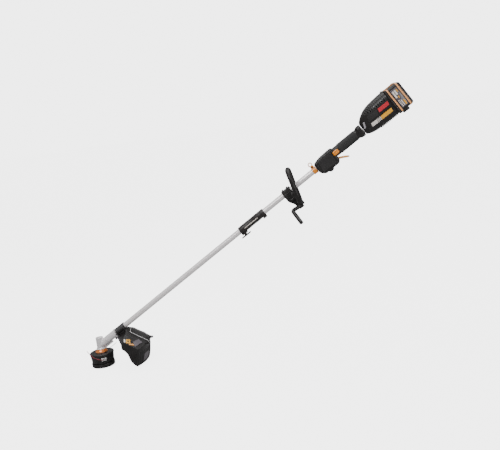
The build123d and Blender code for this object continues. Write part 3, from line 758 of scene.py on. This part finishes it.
def make_loop_handle():
    extra = bmesh.new()
    for side in (-1, 1):
        low, high = sorted((side * 19, side * 21.5))
        add_outline(extra, [(1119, -2), (1119, -31), (1126, -42), (1156, -42), (1156, -34), (1131, -34),
                            (1127, -28), (1127, -2)], low, high)
    soften("loop_handle", 1.3, 4, BLACK, extra, keep=0.7)
    # Soft ribs on the outside of the loop, where the hand holds it.
    ribs = bmesh.new()
    line = loop_line()
    for start in range(6, 66, 3):
        here = line[start]
        along = (line[start + 1] - line[start - 1]).normalized()
        out = Vector((0, here.y, here.z)).normalized()
        across = along.cross(out).normalized()
        out = across.cross(along).normalized()
        if out.dot(here) < 0:
            out = -out
        points = []
        for k in range(17):
            angle = radians(-160 + 20 * k)
            points.append(here + (out * cos(angle) + across * sin(angle)) * 11.7)
        add_pipe(ribs, [LOOP @ p for p in points], 0.9, 8)
    finish("loop_grip_ribs", ribs, RUBBER)

    cap = bmesh.new()
    add_outline(cap, [(-19.6, 0.6), (-19.6, 12), (-14, 18.6), (14, 18.6), (19.6, 12), (19.6, 0.6),
                      (12.7, 0.6), (11, 6.4), (6.4, 11), (0, 12.7), (-6.4, 11), (-11, 6.4), (-12.7, 0.6)],
                1115.5, 1159.5, "x")
    finish("handle_cap_block", cap, BLACK, "power_unit", "handle_clamp_cap", SHAFT, 30, bevel=1.2)
    soften("barrier_bar", 1.0, 4, BLACK, keep=0.7)


# ---- strap clamp ----
def make_strap_clamp():
    soften("strap_clamp", 0.6, 3, ORANGE)


SIDES = ((-1, "left"), (1, "right"))


# ---- control housing ----
def super_ring(centre_y, centre_z, half_y, half_z, power, count, start=0.0, sweep=tau):
    """Points on a rounded-box outline; the last point isn't repeated on a full turn."""
    points = []
    steps = count if sweep >= tau - 1e-6 else count - 1
    for k in range(count):
        angle = start + sweep * k / steps
        c, s = cos(angle), sin(angle)
        y = half_y * copysign(abs(c) ** (2 / power), c)
        z = half_z * copysign(abs(s) ** (2 / power), s)
        points.append((centre_y + y, centre_z + z))
    return points


def half_shell(bm, stations, side, wall, count=36, seam=0.15):
    """One half of a two-part casing. stations: (x, half width, low, high, power)."""
    outer, inner = [], []
    for x, half, low, high, power in stations:
        middle = (low + high) / 2
        tall = (high - low) / 2
        for rings, inset in ((outer, 0.0), (inner, wall)):
            ring = super_ring(0, middle, max(half - inset, 1), max(tall - inset, 1), power, count,
                              -pi / 2, pi)
            rings.append([(x, side * max(y, 0) + side * seam, z) for y, z in ring])
    skins = []
    for rings in (outer, inner):
        skins.append([[bm.verts.new(p) for p in ring] for ring in rings])
    for skin in skins:
        for first, second in zip(skin, skin[1:]):
            for i in range(count - 1):
                bm.faces.new((first[i], first[i + 1], second[i + 1], second[i]))
    out, inn = skins
    for i in range(count - 1):
        for end in (0, -1):
            bm.faces.new((out[end][i], out[end][i + 1], inn[end][i + 1], inn[end][i]))
    for a, b in zip(range(len(stations)), range(1, len(stations))):
        for edge in (0, -1):
            bm.faces.new((out[a][edge], out[b][edge], inn[b][edge], inn[a][edge]))


def eased(stations, steps=6):
    """Fills in stations between the given ones with a smooth curve through them."""
    filled = []
    count = len(stations)
    for i in range(count - 1):
        p0, p1 = stations[max(i - 1, 0)], stations[i]
        p2, p3 = stations[i + 1], stations[min(i + 2, count - 1)]
        for k in range(steps):
            t = k / steps
            row = [p1[0] + (p2[0] - p1[0]) * t]
            for j in range(1, len(p1)):
                m1 = (p2[j] - p0[j]) / max(p2[0] - p0[0], 1e-6) * (p2[0] - p1[0])
                m2 = (p3[j] - p1[j]) / max(p3[0] - p1[0], 1e-6) * (p2[0] - p1[0])
                h = (2 * t ** 3 - 3 * t ** 2 + 1, t ** 3 - 2 * t ** 2 + t, -2 * t ** 3 + 3 * t ** 2,
                     t ** 3 - t ** 2)
                row.append(h[0] * p1[j] + h[1] * m1 + h[2] * p2[j] + h[3] * m2)
            filled.append(tuple(row))
    filled.append(stations[-1])
    return filled


CONTROL_STATIONS = [
    (1304.5, 17.5, -19, 16, 3.4), (1306, 20.5, -23, 19, 4.0), (1309, 22.4, -28, 22.2, 4.6),
    (1316, 23, -35.5, 25.4, 5.2), (1326, 23, -42, 28, 5.6), (1332, 23, -43, 29.4, 6.0),
    (1350, 23, -43, 31.2, 6.0), (1375, 23, -43, 32.2, 6.0), (1396, 23, -42.6, 33, 6.0),
    (1402, 22.8, -39.5, 33, 5.4), (1406.5, 21.8, -35, 31.6, 4.6), (1409.4, 19.6, -29, 28.4, 3.6),
    (1410.2, 17.8, -17.5, 27.4, 2.8), (1416, 17.1, -16.1, 27.1, 2.6), (1430, 17, -16, 27, 2.5),
    (1480, 17, -16, 27, 2.5), (1532, 17, -16, 27, 2.5), (1540, 18, -18, 28.5, 2.6),
    (1546, 21, -21.3, 32.2, 3.0), (1552, 22, -22, 33, 3.2), (1561, 22, -22, 33, 3.2),
    (1565.5, 21, -21, 32, 3.0)]


def station_at(stations, x):
    """The casing's half width, low, high and power at a place along it."""
    for a, b in zip(stations, stations[1:]):
        if a[0] <= x <= b[0]:
            t = (x - a[0]) / max(b[0] - a[0], 1e-6)
            return [a[j] + (b[j] - a[j]) * t for j in range(1, 5)]
    return list(stations[-1][1:])


def skin_y(stations, x, z):
    """How far out the casing's side is at a place and height."""
    half, low, high, power = station_at(stations, x)
    t = abs(z - (low + high) / 2) / ((high - low) / 2)
    return half * max(0.0, 1 - min(t, 1) ** power) ** (1 / power)


def add_patch(bm, stations, side, x0, x1, z0, z1, lift, columns, rows, slant, depth):
    """A thin panel that follows a casing's side. slant shears its ends."""
    top, low = [], []
    for i in range(columns + 1):
        top.append([])
        low.append([])
        for j in range(rows + 1):
            z = z0 + (z1 - z0) * j / rows
            x = x0 + (x1 - x0) * i / columns + slant * (z - z0)
            y = skin_y(stations, x, z)
            top[-1].append((x, side * (y + lift), z))
            low[-1].append((x, side * (y + lift - depth), z))
    add_slab(bm, top, low)


def add_side_screws(name, stations, places, radius):
    """Countersunk screw heads set in both sides of a casing."""
    bm = bmesh.new()
    profile = [(0.01, -0.2), (radius * 0.45, -0.2), (radius * 0.45, 0.9), (radius * 0.85, 0.9), (radius, 0.5),
               (radius, -2), (0.01, -2)]
    for x, z in places:
        for side in (-1, 1):
            place = Matrix.Translation((x, side * skin_y(stations, x, z), z))
            turn = place @ Matrix.Rotation(-side * pi / 2, 4, "X")
            add_revolve(bm, profile, 20, matrix=turn)
    finish(name, bm, DARK_STEEL)


def make_control_housing():
    stations = eased(CONTROL_STATIONS, 5)
    for side, name in SIDES:
        bm = bmesh.new()
        half_shell(bm, stations, side, 2.6)
        piece = finish("control_casing_" + name, bm, BLACK, node="control_housing_" + name, smooth_angle=32)
        cutter = bmesh.new()
        add_boxes(cutter, (1335.8, 1371.2, -4.9, 4.9, -52, -36), (1397, 1416, -6.6, 6.6, -50, -14),
                  (1399.7, 1430.3, -26, -13.7, -6.3, 14.3))
        carve(piece, cutter)
    pocket = bmesh.new()
    add_outline(pocket, [(1399.6, -6.4), (1430.4, -6.4), (1430.4, 14.4), (1399.6, 14.4)], -13.8, -12.9)
    finish("lock_off_pocket", pocket, CHARCOAL)
    # Stepped ribs over the top of the casing.
    ribs = bmesh.new()
    for step in range(7):
        x = 1342 + step * 9.0
        half, low, high, power = station_at(stations, x)
        points = []
        for k in range(15):
            angle = radians(50 + 80 * k / 14)
            c, s = cos(angle), sin(angle)
            y = (half + 0.2) * copysign(abs(c) ** (2 / power), c)
            z = (low + high) / 2 + ((high - low) / 2 + 0.1) * s ** (2 / power)
            points.append((x, y, z))
        add_pipe(ribs, points, 1.9, 10)
    finish("control_top_ribs", ribs, BLACK)
    trim = bmesh.new()
    for side in (-1, 1):
        add_patch(trim, stations, side, 1322, 1390, -30, 20, 0.5, 30, 14, 0.12, 1.4)
    finish("control_side_panels", trim, CHARCOAL, smooth_angle=40)
    add_side_screws("control_housing_screws", stations,
                    ((1317, 6), (1392, 24), (1394, -33), (1555, 22), (1555, -12)), 2.8)


def make_grip():
    bm = bmesh.new()
    rings = []
    for k in range(95):
        x = 1436 + k
        ease = min(1.0, (k + 0.5) / 4, (94.5 - k) / 4)
        swell = sin(pi * k / 94)
        out = 0.5 + 1.0 * ease ** 0.5
        ring = super_ring(0, 5.5, 17 + out + 0.4 * swell, 21.5 + out, 2.5, 56)
        rings.append([(x, y, z) for y, z in ring])
    inner = super_ring(0, 5.5, 16.2, 20.7, 2.5, 56)
    add_rings(bm, rings + [[(1530, y, z) for y, z in inner], [(1436, y, z) for y, z in inner]], close=True)
    finish("grip_overmould", bm, RUBBER, "power_unit", "grip_sleeve")
    # Raised chevrons along both sides of the grip.
    marks = bmesh.new()
    for side in (-1, 1):
        for k in range(7):
            x = 1452 + k * 7.0
            points = []
            for j in range(9):
                z = -6 + 23 * j / 8
                t = abs(z - 5.5) / 21.5
                y = 18.9 * (1 - t ** 2.5) ** 0.4
                points.append((x + 5 * (1 - abs(z - 5.5) / 11.5), side * y, z))
            add_pipe(marks, points, 0.85, 8)
    finish("grip_ribs", marks, RUBBER)


def make_trigger():
    bm = bmesh.new()
    spine = [(1392, -23, 2.8), (1400, -22, 4.8), (1407, -23.6, 5.0), (1414, -26.8, 5.0), (1422, -31.0, 5.0),
             (1430, -35.4, 4.9), (1438, -40.2, 4.7), (1445, -44.6, 4.3), (1450.5, -47.9, 2.8)]
    rings = []
    for i, (x, z, half) in enumerate(spine):
        before = spine[max(i - 1, 0)]
        after = spine[min(i + 1, len(spine) - 1)]
        along = Vector((after[0] - before[0], 0, after[1] - before[1])).normalized()
        across = Vector((-along.z, 0, along.x))
        ring = []
        for a, b in super_ring(0, 0, 5.0, half, 3.0, 24):
            ring.append(Vector((x, a, z)) + across * b)
        rings.append(ring)
    add_rings(bm, rings)
    add_revolve(bm, [(2.1, -5), (5, -5), (5, 5), (2.1, 5)], 32, matrix=along_y(1402, -22))
    finish("trigger_lever", bm, TRIGGER_ORANGE, "trigger", "trigger", SHAFT, 50)
    lines = bmesh.new()
    for k in range(6):
        t = 2.6 + k * 0.72
        i = int(t)
        f = t - i
        x = spine[i][0] * (1 - f) + spine[i + 1][0] * f
        z = spine[i][1] * (1 - f) + spine[i + 1][1] * f
        add_pipe(lines, [(x - 2.3, -3.4, z - 4.4), (x - 2.3, 3.4, z - 4.4)], 0.55, 8)
    finish("trigger_ribs", lines, TRIGGER_ORANGE, "trigger")


def make_lock_button():
    bm = bmesh.new()
    rings = []
    for inset, y in ((0.0, -17.0), (0.0, -21.6), (0.5, -23.0), (1.8, -24.0), (3.4, -24.4)):
        ring = super_ring(1415, 4, 15 - inset, 10 - inset, 4.0, 48)
        rings.append([(x, y, z) for x, z in ring])
    add_rings(bm, rings)
    finish("lock_off_cap", bm, ORANGE, "lock_off", "lock_off_button")
    bars = bmesh.new()
    for k in range(5):
        x = 1407 + k * 4
        add_pipe(bars, [(x, -24.3, -1), (x, -24.3, 9)], 0.6, 8)
    finish("lock_off_ribs", bars, ORANGE, "lock_off")


def make_speed_dial():
    bm = bmesh.new()

    def knurl(angle, radius, height):
        return radius - 0.9 * (0.5 - 0.5 * cos(26 * angle)) ** 2 if radius > 10 else radius
    add_revolve(bm, [(0.01, -19.6), (2.5, -19.6), (2.5, -4), (15.4, -4), (16.8, -3), (16.8, 3), (15.4, 4),
                     (2.5, 4), (2.5, 19.6), (0.01, 19.6)], 156, knurl, along_y(1353.5, -36))
    finish("speed_dial_wheel", bm, CHARCOAL, "dial", "speed_dial", SHAFT, 30)


# ---- motor housing ----
MOTOR_STATIONS = [
    (1568.5, 19.5, -20, 33, 2.8), (1571, 23, -22.5, 38, 2.8), (1579, 29, -27, 46, 2.8),
    (1590, 35, -31, 54.5, 2.8), (1604, 41.5, -34.2, 62, 2.8), (1620, 47, -36.4, 68.8, 2.9),
    (1640, 52, -37.4, 74.4, 3.0), (1665, 56.5, -37.8, 77.4, 3.2), (1695, 59.8, -38, 79.4, 3.4),
    (1727.5, 61.8, -38, 80.8, 3.6)]


def make_motor_housing():
    stations = eased(MOTOR_STATIONS, 6)
    for side, name in SIDES:
        bm = bmesh.new()
        half_shell(bm, stations, side, 3.0, 48)
        piece = finish("motor_casing_" + name, bm, BLACK, node="motor_housing_" + name, smooth_angle=32)
        cutter = bmesh.new()
        # Air slots along the shoulder and along the belly.
        for k in range(9):
            x = 1625 + k * 10.5
            add_box(cutter, x, x + 4.2, *sorted((side * 30, side * 70)), 47, 56)
        for k in range(8):
            x = 1640 + k * 10.5
            add_box(cutter, x, x + 4.6, *sorted((side * 8, side * 34)), -48, -20)
        carve(piece, cutter)
    # The serrated keel below and the raised spine above.
    keel = bmesh.new()
    for k in range(12):
        x = 1634 + k * 7.8
        low = station_at(stations, x)[1]
        outline = [(x + 1.6, low - 3.4), (x + 4.4, low - 3.4), (x + 6.6, low + 5), (x - 1.4, low + 5)]
        add_outline(keel, outline, -17, 17)
    finish("motor_keel_ribs", keel, BLACK, smooth_angle=30, bevel=0.7)
    spine = bmesh.new()
    rings = []
    for k in range(33):
        x = 1584 + 140 * k / 32
        high = station_at(stations, x)[2]
        half = 9 + 5 * k / 32
        ease = min(1.0, k / 3, (32 - k) / 3 + 0.2)
        ring = super_ring(0, high - 1.2, half * max(ease, 0.3), 1.7 * max(ease, 0.3), 3.0, 20)
        rings.append([(x, y, z) for y, z in ring])
    add_rings(spine, rings)
    finish("motor_spine", spine, CHARCOAL)
    slats = bmesh.new()
    for side in (-1, 1):
        for k in range(13):
            x = 1612 + k * 8.6
            high = station_at(stations, x)[2]
            points = []
            for j in range(9):
                z = high - 17 + 13.5 * j / 8
                points.append((x - 0.5 * j, side * (skin_y(stations, x, z) + 0.1), z))
            add_pipe(slats, points, 1.5, 8)
    finish("motor_shoulder_slats", slats, CHARCOAL)
    make_motor_panels(stations)


def make_motor_panels(stations):
    """The gloss bands with stripes and a badge in place of the printing, a light grey patch near the tip that
    is a painted highlight, and a side panel.
    """
    bars = [(1638.5 + k * 6, 1642 + k * 6) for k in range(3)]
    panels = [("side_band", BLACK_GLOSS, [(1600, 1722)], -16, 13, 0.45, 60, 10, 0.0, 1.2),
              ("stripe_cream", CREAM, [(1606, 1636)], -9.5, 6.5, 0.9, 20, 6, 0.15, 0.8),
              ("stripe_yellow", YELLOW, [(1656, 1712)], -9.5, 6.5, 0.9, 30, 6, 0.15, 0.8),
              ("stripe_bars", CREAM, bars, -9.5, 6.5, 0.9, 4, 6, 0.15, 0.8),
              ("badge_red", RED, [(1664, 1716)], 22, 39, 0.9, 30, 6, 0.2, 0.8),
              # Painted highlight: a light grey patch where the tip's gloss catches the light.
              ("tip_accent", PAINTED_HIGHLIGHT_GREY, [(1572.5, 1580)], 4, 30, 0.6, 14, 12, 0.45, 0.8),
              ("side_panel", CHARCOAL, [(1606, 1654)], 17, 40, 0.5, 30, 10, 0.3, 1.2)]
    for side, name in SIDES:
        for label, material, spans, *shape in panels:
            bm = bmesh.new()
            for x0, x1 in spans:
                add_patch(bm, stations, side, x0, x1, *shape)
            finish("motor_" + label + "_" + name, bm, material, smooth_angle=45)
    add_side_screws("motor_housing_screws", stations,
                    ((1592, -10), (1630, 50), (1650, -24), (1712, -24), (1716, 56)), 3.2)


# ---- batteries ----
PACK_CORNER = 11.0


def add_pack_rings(bm, y0, y1, z0, z1, steps, close=False):
    """Rounded outlines square to the shaft; each step is a place along it and how far its outline grows."""
    rings = []
    for x, grow in steps:
        r = PACK_CORNER + grow
        ring = []
        for sy, sz, start in ((1, 1, 0), (-1, 1, 90), (-1, -1, 180), (1, -1, 270)):
            cy = y1 - PACK_CORNER if sy > 0 else y0 + PACK_CORNER
            cz = z1 - PACK_CORNER if sz > 0 else z0 + PACK_CORNER
            for k in range(7):
                angle = radians(start + 15 * k)
                ring.append((x, cy + r * cos(angle), cz + r * sin(angle)))
        rings.append(ring)
    add_rings(bm, rings, close=close)


def add_band(bm, x0, x1, *box):
    """A flat band round a pack's four long sides."""
    steps = ((x0, -0.6), (x0, 0.4), (x0 + 0.5, 0.9), (x1 - 0.5, 0.9), (x1, 0.4), (x1, -0.6))
    add_pack_rings(bm, *box, steps, close=True)


def make_batteries():
    low, high = -36.0, 77.0
    for side, name in SIDES:
        body = name + "_pack"
        y0, y1 = sorted((side * 1.0, side * 75.0))
        outer_y = side * 75.0
        bm = bmesh.new()
        # The case narrows behind its front lip, and its back edge is soft.
        add_pack_rings(bm, y0, y1, low, high,
                       ((1736.4, -0.8), (1737.2, 0), (1747.5, 0), (1748.2, -0.7), (1782.6, -0.7), (1783.4, 0),
                        (1793.5, 0), (1797.5, -1.2), (1801, -3.2), (1803.2, -5.8), (1804, -8.8)))
        piece = finish("battery_case_" + name, bm, BLACK, body, "battery_" + name, SHAFT, 40)
        cutter = bmesh.new()
        middle = side * 38
        latch_well = (1744.6, 1776.4, middle - 12.4, middle + 12.4, -40, -26)
        add_boxes(cutter, (1735, 1739, middle - 10.4, middle + 10.4, -26.4, 90),
                  (1738.6, 1742.4, middle - 14.4, middle + 14.4, -26.4, 90),
                  (1742, 1750, middle - 8, middle + 8, 48, 90), latch_well)
        carve(piece, cutter)
        trims = bmesh.new()
        add_band(trims, 1739.0, 1745.5, y0, y1, low + 0.2, high - 0.2)
        add_band(trims, 1785.0, 1792.0, y0, y1, low + 0.2, high - 0.2)
        inner0, inner1 = sorted((side * 9.0, side * 13.0))
        add_box(trims, 1743, 1788, inner0, inner1, high - 0.8, high + 0.7)
        trim = finish("battery_trim_" + name, trims, PEACH, body, smooth_angle=40)
        cutter = bmesh.new()
        add_boxes(cutter, (1730, 1742.4, middle - 14.4, middle + 14.4, -26.4, 92), latch_well,
                  (1730, 1750, middle - 8, middle + 8, 48, 92))
        carve(trim, cutter)
        panel = bmesh.new()
        near, far = sorted((outer_y - side * 1.2, outer_y + side * 0.35))
        rounded_block(panel, 1749.5, 1781.5, near, far, -24, 64, 0.45, 2)
        finish("battery_label_" + name, panel, GREY_LABEL_AND_PAINTED_LIGHT, body, smooth_angle=40)
        # Charge gauge and bars in place of the printing.
        marks = [(1753, 1760, 24, 56), (1763, 1770, 34, 56), (1763, 1767, -20, 8)]
        marks += [(1753, 1759, -20 + k * 7, -16.5 + k * 7) for k in range(5)]
        accents = [(1772.5, 1777, 42, 56), (1763, 1768, 18, 28), (1771, 1777, -20, 2)]
        out0, out1 = sorted((outer_y + side * 0.2, outer_y + side * 0.8))
        for label, bars, material in (("marks", marks, CREAM), ("accents", accents, YELLOW)):
            bm = bmesh.new()
            add_boxes(bm, *[(x0, x1, out0, out1, z0, z1) for x0, x1, z0, z1 in bars])
            finish("battery_" + label + "_" + name, bm, material, body)
        ribs = bmesh.new()
        for k in range(6):
            z = -18 + k * 15
            rounded_block(ribs, 1803.2, 1804.6, y0 + 12, y1 - 12, z, z + 5, 0.6, 2)
        finish("battery_back_ribs_" + name, ribs, CHARCOAL, body, smooth_angle=40)
        make_latch(side, name)


def make_latch(side, name):
    middle = side * 38
    bm = bmesh.new()
    rounded_block(bm, 1745, 1776, middle - 12, middle + 12, -48, -31, 2.2, 4)
    body = name + "_latch"
    finish("battery_latch_button_" + name, bm, BLACK, body, "battery_latch_" + name, smooth_angle=40)
    ribs = bmesh.new()
    for k in range(5):
        x = 1750 + k * 5.2
        add_pipe(ribs, [(x, middle - 9, -48), (x, middle + 9, -48)], 0.7, 8)
    finish("battery_latch_ribs_" + name, ribs, CHARCOAL, body)


def make_dock():
    bm = bmesh.new()
    rounded_block(bm, 1728, 1736, -76, 76, -38, 81, 3.0, 4)
    for side in (-1, 1):
        middle = side * 38
        add_boxes(bm, (1735.5, 1739.2, middle - 10, middle + 10, -26, 70),
                  (1739, 1742, middle - 14, middle + 14, -26, 70))
    finish("battery_dock_plate", bm, BLACK, "power_unit", "battery_dock", SHAFT, 30)
    blades = bmesh.new()
    for side in (-1, 1):
        for blade in (-6, 0, 6):
            add_box(blades, 1741.5, 1748, side * 38 + blade - 0.5, side * 38 + blade + 0.5, 50, 70)
    finish("battery_terminals", blades, BRASS)


# ---- stage, light and camera ----
FLOOR_GLOW = 4.05
BACKDROP = 4.4
CAMERA_AZIMUTH = radians(4.83)
CAMERA_ELEVATION = radians(9.25)
CAMERA_ROLL = radians(8.02)
CAMERA_DISTANCE = 3.265
CAMERA_TARGET = Vector((0.7781, 0.00095, 0.57928))
LENS_MM = 52.08


def make_camera():
    back = Vector((sin(CAMERA_AZIMUTH) * cos(CAMERA_ELEVATION),
                   -cos(CAMERA_AZIMUTH) * cos(CAMERA_ELEVATION), sin(CAMERA_ELEVATION)))
    right = Vector((cos(CAMERA_AZIMUTH), sin(CAMERA_AZIMUTH), 0))
    up = back.cross(right)
    rolled_right = right * cos(CAMERA_ROLL) - up * sin(CAMERA_ROLL)
    rolled_up = right * sin(CAMERA_ROLL) + up * cos(CAMERA_ROLL)
    camera = new_object("camera", bpy.data.cameras.new("camera"))
    camera.data.lens = LENS_MM
    camera.data.sensor_width = 36.0
    camera.data.clip_end = 60.0
    turn = Matrix((rolled_right, rolled_up, back)).transposed().to_4x4()
    camera.matrix_world = Matrix.Translation(CAMERA_TARGET + back * CAMERA_DISTANCE) @ turn
    bpy.context.scene.camera = camera


def make_light(name, place, target, size, power):
    light = bpy.data.lights.new(name, "AREA")
    light.shape = "RECTANGLE"
    light.size = size
    light.size_y = size * 0.7
    light.energy = power
    lamp = new_object(name, light)
    lamp.location = place
    lamp.rotation_euler = (Vector(place) - Vector(target)).to_track_quat("Z", "Y").to_euler()


def show_camera(tree, usual, seen, output):
    """Gives camera rays their own shader, and every other ray the usual one."""
    choice = add_node(tree, "MixShader", Fac=add_node(tree, "LightPath").outputs["Is Camera Ray"])
    tree.links.new(usual, choice.inputs[1])
    tree.links.new(seen, choice.inputs[2])
    tree.links.new(choice.outputs["Shader"], tree.nodes[output].inputs["Surface"])


def floor_material():
    """Pale paper that keeps a faint shadow; the camera sees it nearly white."""
    material, tree, shader = new_material("pale_floor")
    set_inputs(tree, shader, Roughness=0.9,
               Base_Color=ramp(tree, noise_field(tree, 3.0, 2.0), 0.3, 0.7, (0.34,) * 3, (0.36,) * 3))
    glow = add_node(tree, "Emission", Strength=FLOOR_GLOW)
    both = add_node(tree, "AddShader")
    tree.links.new(shader.outputs["BSDF"], both.inputs[0])
    tree.links.new(glow.outputs["Emission"], both.inputs[1])
    show_camera(tree, shader.outputs["BSDF"], both.outputs["Shader"], "Material Output")
    return material


def studio_world():
    """Soft light that falls off toward the horizon, with a white backdrop for the camera."""
    world = bpy.data.worlds.new("studio")
    world.use_nodes = True
    tree = world.node_tree
    light = tree.nodes["Background"]
    parts = add_node(tree, "SeparateXYZ", Vector=add_node(tree, "TexCoord").outputs["Generated"])
    fall = add_node(tree, "MapRange", To_Min=0.14, To_Max=0.95, Value=parts.outputs["Z"])
    set_inputs(tree, light, Color=(1, 1, 1, 1), Strength=fall.outputs["Result"])
    backdrop = add_node(tree, "Background", Color=(1, 1, 1, 1), Strength=BACKDROP)
    show_camera(tree, light.outputs["Background"], backdrop.outputs["Background"], "World Output")
    return world


def make_stage():
    mesh = bpy.data.meshes.new("floor")
    reach = 40.0
    mesh.from_pydata([(-reach, -reach, 0), (reach, -reach, 0), (reach, reach, 0), (-reach, reach, 0)], [],
                     [(0, 1, 2, 3)])
    mesh.materials.append(floor_material())
    new_object("floor", mesh)
    bpy.context.scene.world = studio_world()
    make_light("key", (-0.4, -2.6, 2.9), (0.8, 0, 0.5), 1.8, 75)
    make_light("fill", (3.0, -2.4, 1.4), (0.9, 0, 0.6), 1.6, 30)
    make_light("top", (0.7, 0.6, 3.2), (0.8, 0, 0.5), 2.4, 45)


dress_cad_nodes()
make_spool_housing()
make_spool_cover()
make_bump_knob()
make_head_collar()
make_eyelets()
make_cutting_lines()
make_bump_spring()
make_gearbox()
make_guard()
make_coupler()
make_clamp_knob()
make_loop_handle()
make_strap_clamp()
make_control_housing()
make_grip()
make_trigger()
make_lock_button()
make_speed_dial()
make_motor_housing()
make_batteries()
make_dock()
make_camera()
make_stage()
